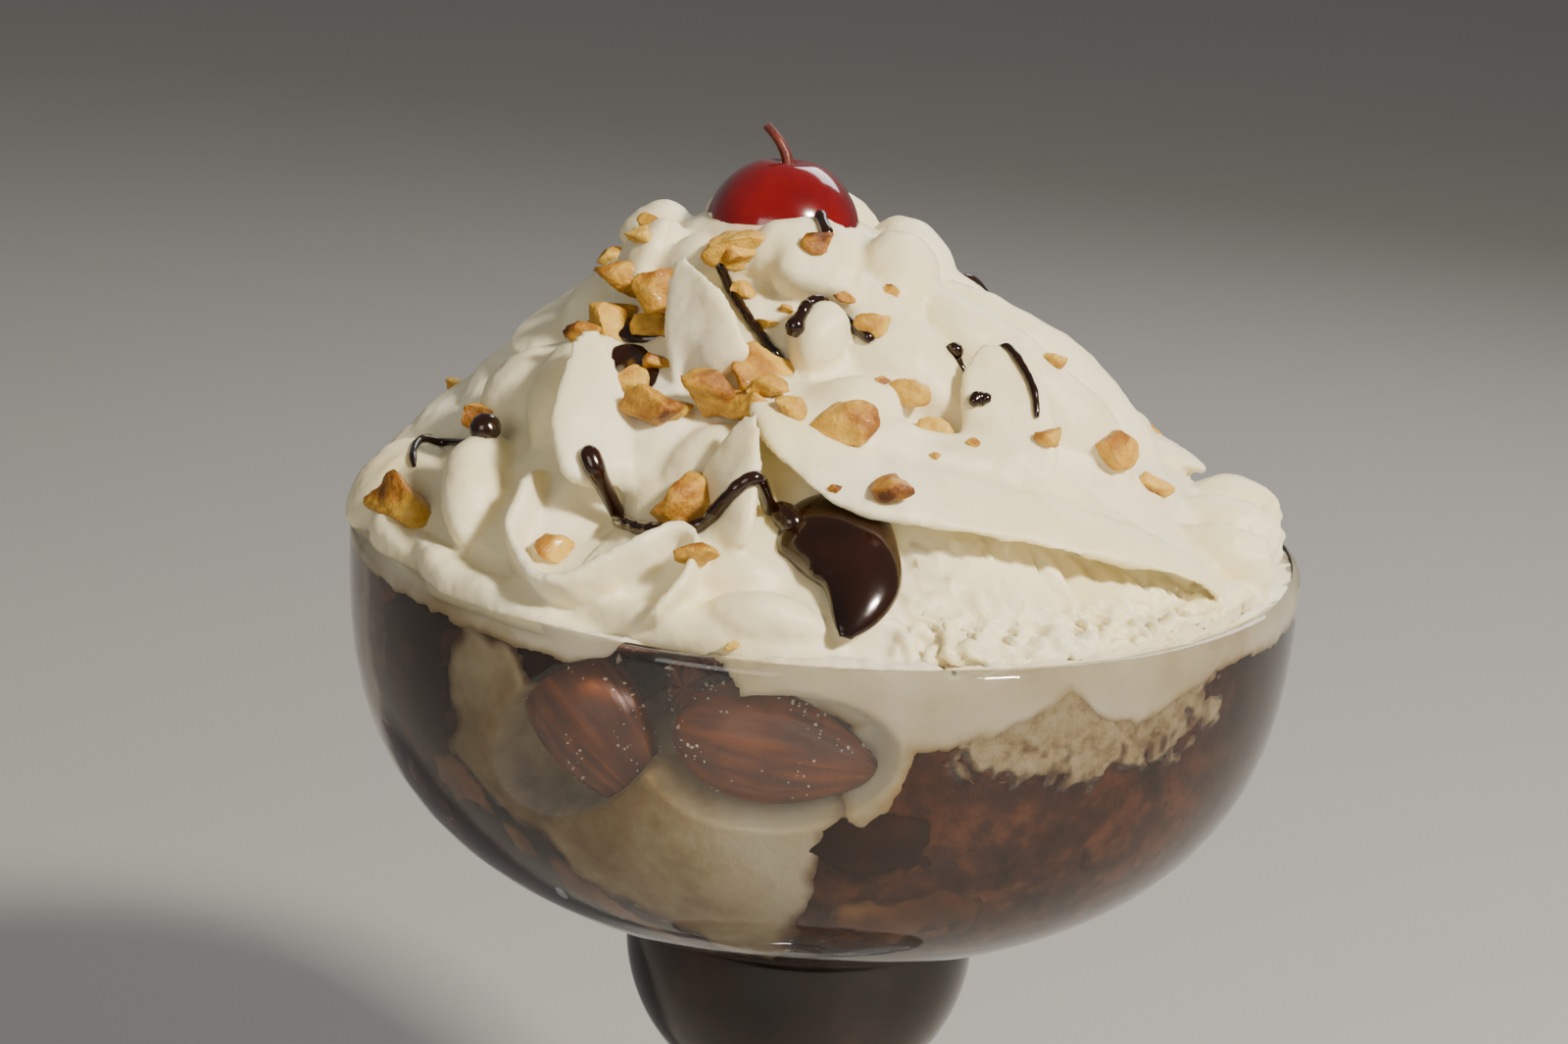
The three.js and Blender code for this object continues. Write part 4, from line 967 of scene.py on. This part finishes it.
drop = fudge_roll("fudge_drop_front", [(-0.6, 15.4, -2.6), (4.2, 12.0, -1.2), (6.4, 8.0, 0), (3.6, 2.6, 0.4)], 6.4, 3.0,
                  out=-0.9, ends=(0.3, 0.8), steps=48)
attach(drop, "root")
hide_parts("fudge_drop")


def drawn_out(name, places, radii, resolution):
    """A thin round cord through the places, closed at its ends."""
    bpy.ops.curve.primitive_nurbs_path_add()
    cord = bpy.context.object
    cord.name = name
    spline = cord.data.splines[0]
    spline.points.add(len(places) - len(spline.points))
    for point, place, radius in zip(spline.points, places, radii):
        point.co = (*(place * MM), 1)
        point.radius = radius
    spline.use_endpoint_u = True
    spline.resolution_u = resolution
    cord.data.bevel_depth = MM
    cord.data.bevel_resolution = 4
    cord.data.use_fill_caps = True
    bpy.ops.object.convert(target="MESH")
    bpy.ops.object.shade_smooth()
    return cord


# each thread's path of angles and levels, then the half widths of its first bead, its middle and its last bead
THREADS = [
    ([(-72, 7.6), (-79, 8.8), (-80.5, 10.4), (-75, 11.8), (-69, 12.8), (-61, 13.6), (-56.1, 13.6)], 0.5, 0.5, 2.0),
    ([(-33.4, 14.6), (-31.6, 13.4), (-30.0, 12.2), (-27.0, 11.2), (-23.3, 10.6), (-20.4, 10.4), (-17.5, 10.6),
      (-13.5, 11.4), (-10.2, 12.4), (-7.6, 13.4), (-4.6, 14.0), (-2.6, 13.4), (-0.4, 12.0)], 1.4, 0.85, 1.6),
    ([(-28, 35.6), (-23.5, 34.8), (-19, 33.6), (-14.5, 32.3), (-11, 31.0), (-7.6, 29.8), (-4.4, 28.6), (-1.2, 27.6)],
     0.4, 0.62, 0.7),
    ([(0.8, 28.3), (3.8, 29.8), (6.2, 30.9), (11.5, 31.9), (16.0, 31.2), (19.6, 29.8), (21.6, 28.4)], 1.3, 0.75, 0.8),
    ([(31, 42), (25.0, 40.2), (19.3, 38.6), (17.7, 36.8)], 0.5, 0.7, 0.8),
    ([(44.2, 27.2), (45.6, 27.3), (46.9, 26.4), (47.2, 24.6), (46.4, 22.6), (45.0, 20.8), (43.4, 19.2)], 1.2, 0.5, 0.4),
    ([(35.0, 21.8), (36.3, 22.1), (37.6, 21.7)], 0.7, 0.8, 0.9),
    ([(118, 30), (126, 26), (132, 21), (141, 17)], 0.7, 0.8, 1.3),
    ([(186, 33), (192, 28), (201, 24), (206, 18)], 0.7, 0.8, 1.2),
]
for i, (path, first, half, bead) in enumerate(THREADS):
    guide = [Vector((a, z, 0)) for a, z in path]
    count = 8 * (len(path) - 1)
    stops = [smooth_path(guide, k / count) for k in range(count + 1)]
    heights = []
    for stop in stops:
        spot, away = land(stop.x, stop.y)
        heights.append((spot - on_mound(stop.x, stop.y)[0]).dot(away))
    heights = [max(heights[max(0, k - 1):k + 2]) for k in range(count + 1)]
    for _ in range(2):
        heights = [(heights[max(0, k - 1)] + heights[k] * 2 + heights[min(count, k + 1)]) / 4
                   for k in range(count + 1)]
    places, radii = [], []
    for k in range(count + 1):
        t = k / count
        spot, away = on_mound(stops[k].x, stops[k].y, heights[k])
        swell = (half * (1 + 0.25 * noise.noise(Vector((k * 0.35, i, 0)))) + (bead - half) * step_up(0.82, 0.93, t)
                 + (first - half) * (1 - step_up(0.03, 0.14, t)))
        swell *= min(1.0, 0.55 + 12 * min(t, 1 - t))
        places.append(spot + away * swell * 0.45)
        radii.append(swell)
    thread = drawn_out("fudge_thread_%d" % (i + 1), places, radii, 3)
    thread.data.materials.append(fudge)
    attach(thread, "root")

for name, path, half in (("fudge_pool", [(-33, 23.0), (-38, 24.4), (-43, 25.4), (-47.5, 25.6)], 3.2),
                         ("fudge_streak", [(-30, 30.2), (-38, 29.8), (-46, 28.6), (-55, 26.6)], 2.5)):
    rest_on = [(a, z, (land(a, z)[0] - on_mound(a, z)[0]).dot(land(a, z)[1]) - 0.3) for a, z in path]
    pool = fudge_roll(name, rest_on, half, 1.3, ends=(0.35, 0.5))
    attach(pool, "root")

# The chopped nuts: toasted pieces broken by the knife, with flat breaks, one smooth outer side and worn edges.
# The large ones keep the places of their solids, and the small ones and the crumbs are pressed into the cream.


def nut_look(nodes, links, place):
    own = grain(nodes, links, place, 110, 2)
    fine = grain(nodes, links, place, 480, 6, 0.62)
    tone = multiply_add(nodes, links, own, 0.35, painted_value(nodes, "toast"))
    shade = multiply_add(nodes, links, fine, 0.45, tone)
    colour = ramp(nodes, links, shade, [(0.30, (0.12, 0.032, 0.004)), (0.41, (0.34, 0.135, 0.011)),
                                        (0.55, (0.58, 0.32, 0.032)), (0.76, (0.76, 0.53, 0.11))])
    return colour, fine, 0.0007, None


toasted = food_material("toasted_nut", nut_look, roughness=0.5, subsurface=0.18, radius=(1, 0.6, 0.25), scale=0.0012,
                        coat=0.08)


def chopped(name, centre, half_sizes, seed, detail=4):
    """A broken piece of nut: a ball whose sides are struck flat along random planes."""
    draw = random.Random(seed)
    bpy.ops.mesh.primitive_ico_sphere_add(subdivisions=detail, radius=1)
    piece = bpy.context.object
    piece.name = name
    skin = Vector((draw.gauss(0, 1), draw.gauss(0, 1), draw.gauss(0, 1))).normalized()
    toast = piece.data.attributes.new("toast", "FLOAT", "POINT")
    tone = draw.uniform(0.04, 0.26)
    cuts = []
    for _ in range(7):
        n = Vector((draw.gauss(0, 1), draw.gauss(0, 1), draw.gauss(0, 1))).normalized()
        cuts.append((n, draw.uniform(0.35, 0.8)))
    for vertex in piece.data.vertices:
        toast.data[vertex.index].value = tone - 0.15 * step_up(0.4, 0.8, vertex.co.dot(skin))
        v = vertex.co * 1.16
        for n, depth in cuts:
            over = v.dot(n) - depth
            if over > 0:
                v -= n * over * 0.94
        v *= (1 + 0.20 * noise.noise(v * 1.6 + Vector((seed, 0, 0))) + 0.07 * noise.noise(v * 4 + Vector((0, seed, 0)))
              + 0.03 * noise.noise(v * 9))
        vertex.co = v
    low = [min(v.co[i] for v in piece.data.vertices) for i in range(3)]
    high = [max(v.co[i] for v in piece.data.vertices) for i in range(3)]
    for vertex in piece.data.vertices:
        shares = [(vertex.co[i] - low[i]) / (high[i] - low[i]) * 2 - 1 for i in range(3)]
        vertex.co = Vector([centre[i] + shares[i] * half_sizes[i] for i in range(3)])
    bpy.ops.object.shade_smooth()
    piece.data.materials.append(toasted)
    return piece


for i in range(1, 16):
    low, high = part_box("nut_%02d" % i)
    low, high = Vector(low), Vector(high)
    piece = chopped("chopped_nut_%02d" % i, (low + high) / 2, (high - low) * 0.61, 100 + i)
    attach(piece, "root")
    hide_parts("nut_%02d" % i)

# angle, level, half size
SMALL_NUTS = [(-39.3, 23.6, 2.7), (-41.4, 28.8, 2.8), (-39.0, 30.6, 1.7), (-58.3, 34.6, 1.9), (-62, 31.2, 3.4),
              (-57, 28.4, 2.7), (-52, 24.6, 2.4), (-16.1, 35.7, 2.3), (-14.9, 34.0, 1.7), (12.3, 36.2, 2.0),
              (0.7, 32.5, 1.0), (-5.9, 30.8, 1.5), (22.8, 29.6, 2.3), (18.9, 32.5, 1.4), (37.6, 33.1, 1.0),
              (-33.2, 25.6, 1.9), (-24.0, 21.2, 2.3), (-12.6, 23.4, 2.2), (-4.9, 22.9, 2.5), (-0.9, 21.0, 1.9),
              (24.6, 23.9, 2.8), (30.2, 21.9, 2.3), (19.2, 24.6, 1.0), (-68.4, 14.6, 2.2), (-35.4, 7.6, 2.3),
              (-13.6, 7.6, 2.6), (-9.2, 0.9, 0.8), (62.3, 23.4, 1.6), (72, 12.4, 2.5), (12.4, 13.9, 2.6),
              (4.6, 14.2, 0.8), (32.3, 19.1, 0.9), (23.4, 18.1, 0.7), (43, 17.6, 1.6), (-66, 36.4, 1.5),
              (98, 27, 1.8), (238, 28, 2.6), (160, 18, 2), (192, 8, 1.8), (225, 20, 2), (128, 14, 1.7),
              (255, 10, 1.7), (262, 31, 1.6), (150, 33, 1.5), (116, 9, 1.4)]
draw = random.Random(12)
small = []
for i, (angle, level, half) in enumerate(SMALL_NUTS):
    spot, away = land(angle, level)
    sizes = Vector((half, half * draw.uniform(0.6, 0.9), half * draw.uniform(0.5, 0.8)))
    piece = chopped("small_nut", (spot + away * half * 0.25) * MM, sizes * MM, 300 + i, detail=3)
    small.append(piece)
pick(small)
bpy.ops.object.join()
small_nuts = bpy.context.object
small_nuts.name = "small_nut_pieces"
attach(small_nuts, "root")

# The cherry on top: a maraschino cherry, dyed deep red and wet with syrup, with the stub of its thin stalk.
# It is a little uneven, creased at one side, and dimpled where the stalk stands in it.


def bump(x, width):
    """A smooth bump of height 1 at x = 0."""
    return math.exp(-((x / width) ** 2))


CHERRY_RADIUS, CHERRY_MIDDLE = 9.7, Vector((LEAN + 1, 0, RIM_HEIGHT + 36.5))
bpy.ops.mesh.primitive_uv_sphere_add(segments=96, ring_count=64, radius=1)
cherry = bpy.context.object
cherry.name = "maraschino_cherry"
for vertex in cherry.data.vertices:
    v = vertex.co.copy()
    dimple = 0.12 * bump(math.hypot(v.x, v.y), 0.22) * (1 if v.z > 0 else 0)
    crease = 0.012 * bump(v.y, 0.12) * max(0, v.x)
    v *= CHERRY_RADIUS * (1 - dimple - crease + 0.008 * noise.noise(v * 2.2))
    vertex.co = (v + CHERRY_MIDDLE) * MM
bpy.ops.object.shade_smooth()
cherry_look = clouded(90, 4, [(0.3, (0.09, 0.001, 0.002)), (0.55, (0.17, 0.002, 0.004)),
                              (0.75, (0.24, 0.005, 0.006))], 0.00015)
cherry_skin = food_material("maraschino_skin", cherry_look, roughness=0.16, subsurface=0.25, radius=(1, 0.1, 0.05),
                            scale=0.003, coat=0.7)
cherry.data.materials.append(cherry_skin)
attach(cherry, "root")
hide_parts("cherry")

top = CHERRY_MIDDLE.z + CHERRY_RADIUS
bend = [Vector((LEAN + 1, 0, top - 3)), Vector((LEAN + 1, 0.2, top - 0.4)), Vector((LEAN - 0.2, 0.8, top + 1.8)),
        Vector((LEAN - 1.8, 1.6, top + 3.4))]
stalk = drawn_out("cherry_stalk", [smooth_path(bend, k / 12) for k in range(13)],
                  [0.75 - 0.2 * k / 12 for k in range(13)], 12)
stalk_look = clouded(400, 4, [(0.3, (0.05, 0.007, 0.004)), (0.7, (0.15, 0.020, 0.008))], 0.0003)
stalk.data.materials.append(food_material("cherry_stalk", stalk_look, roughness=0.45))
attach(stalk, "root")
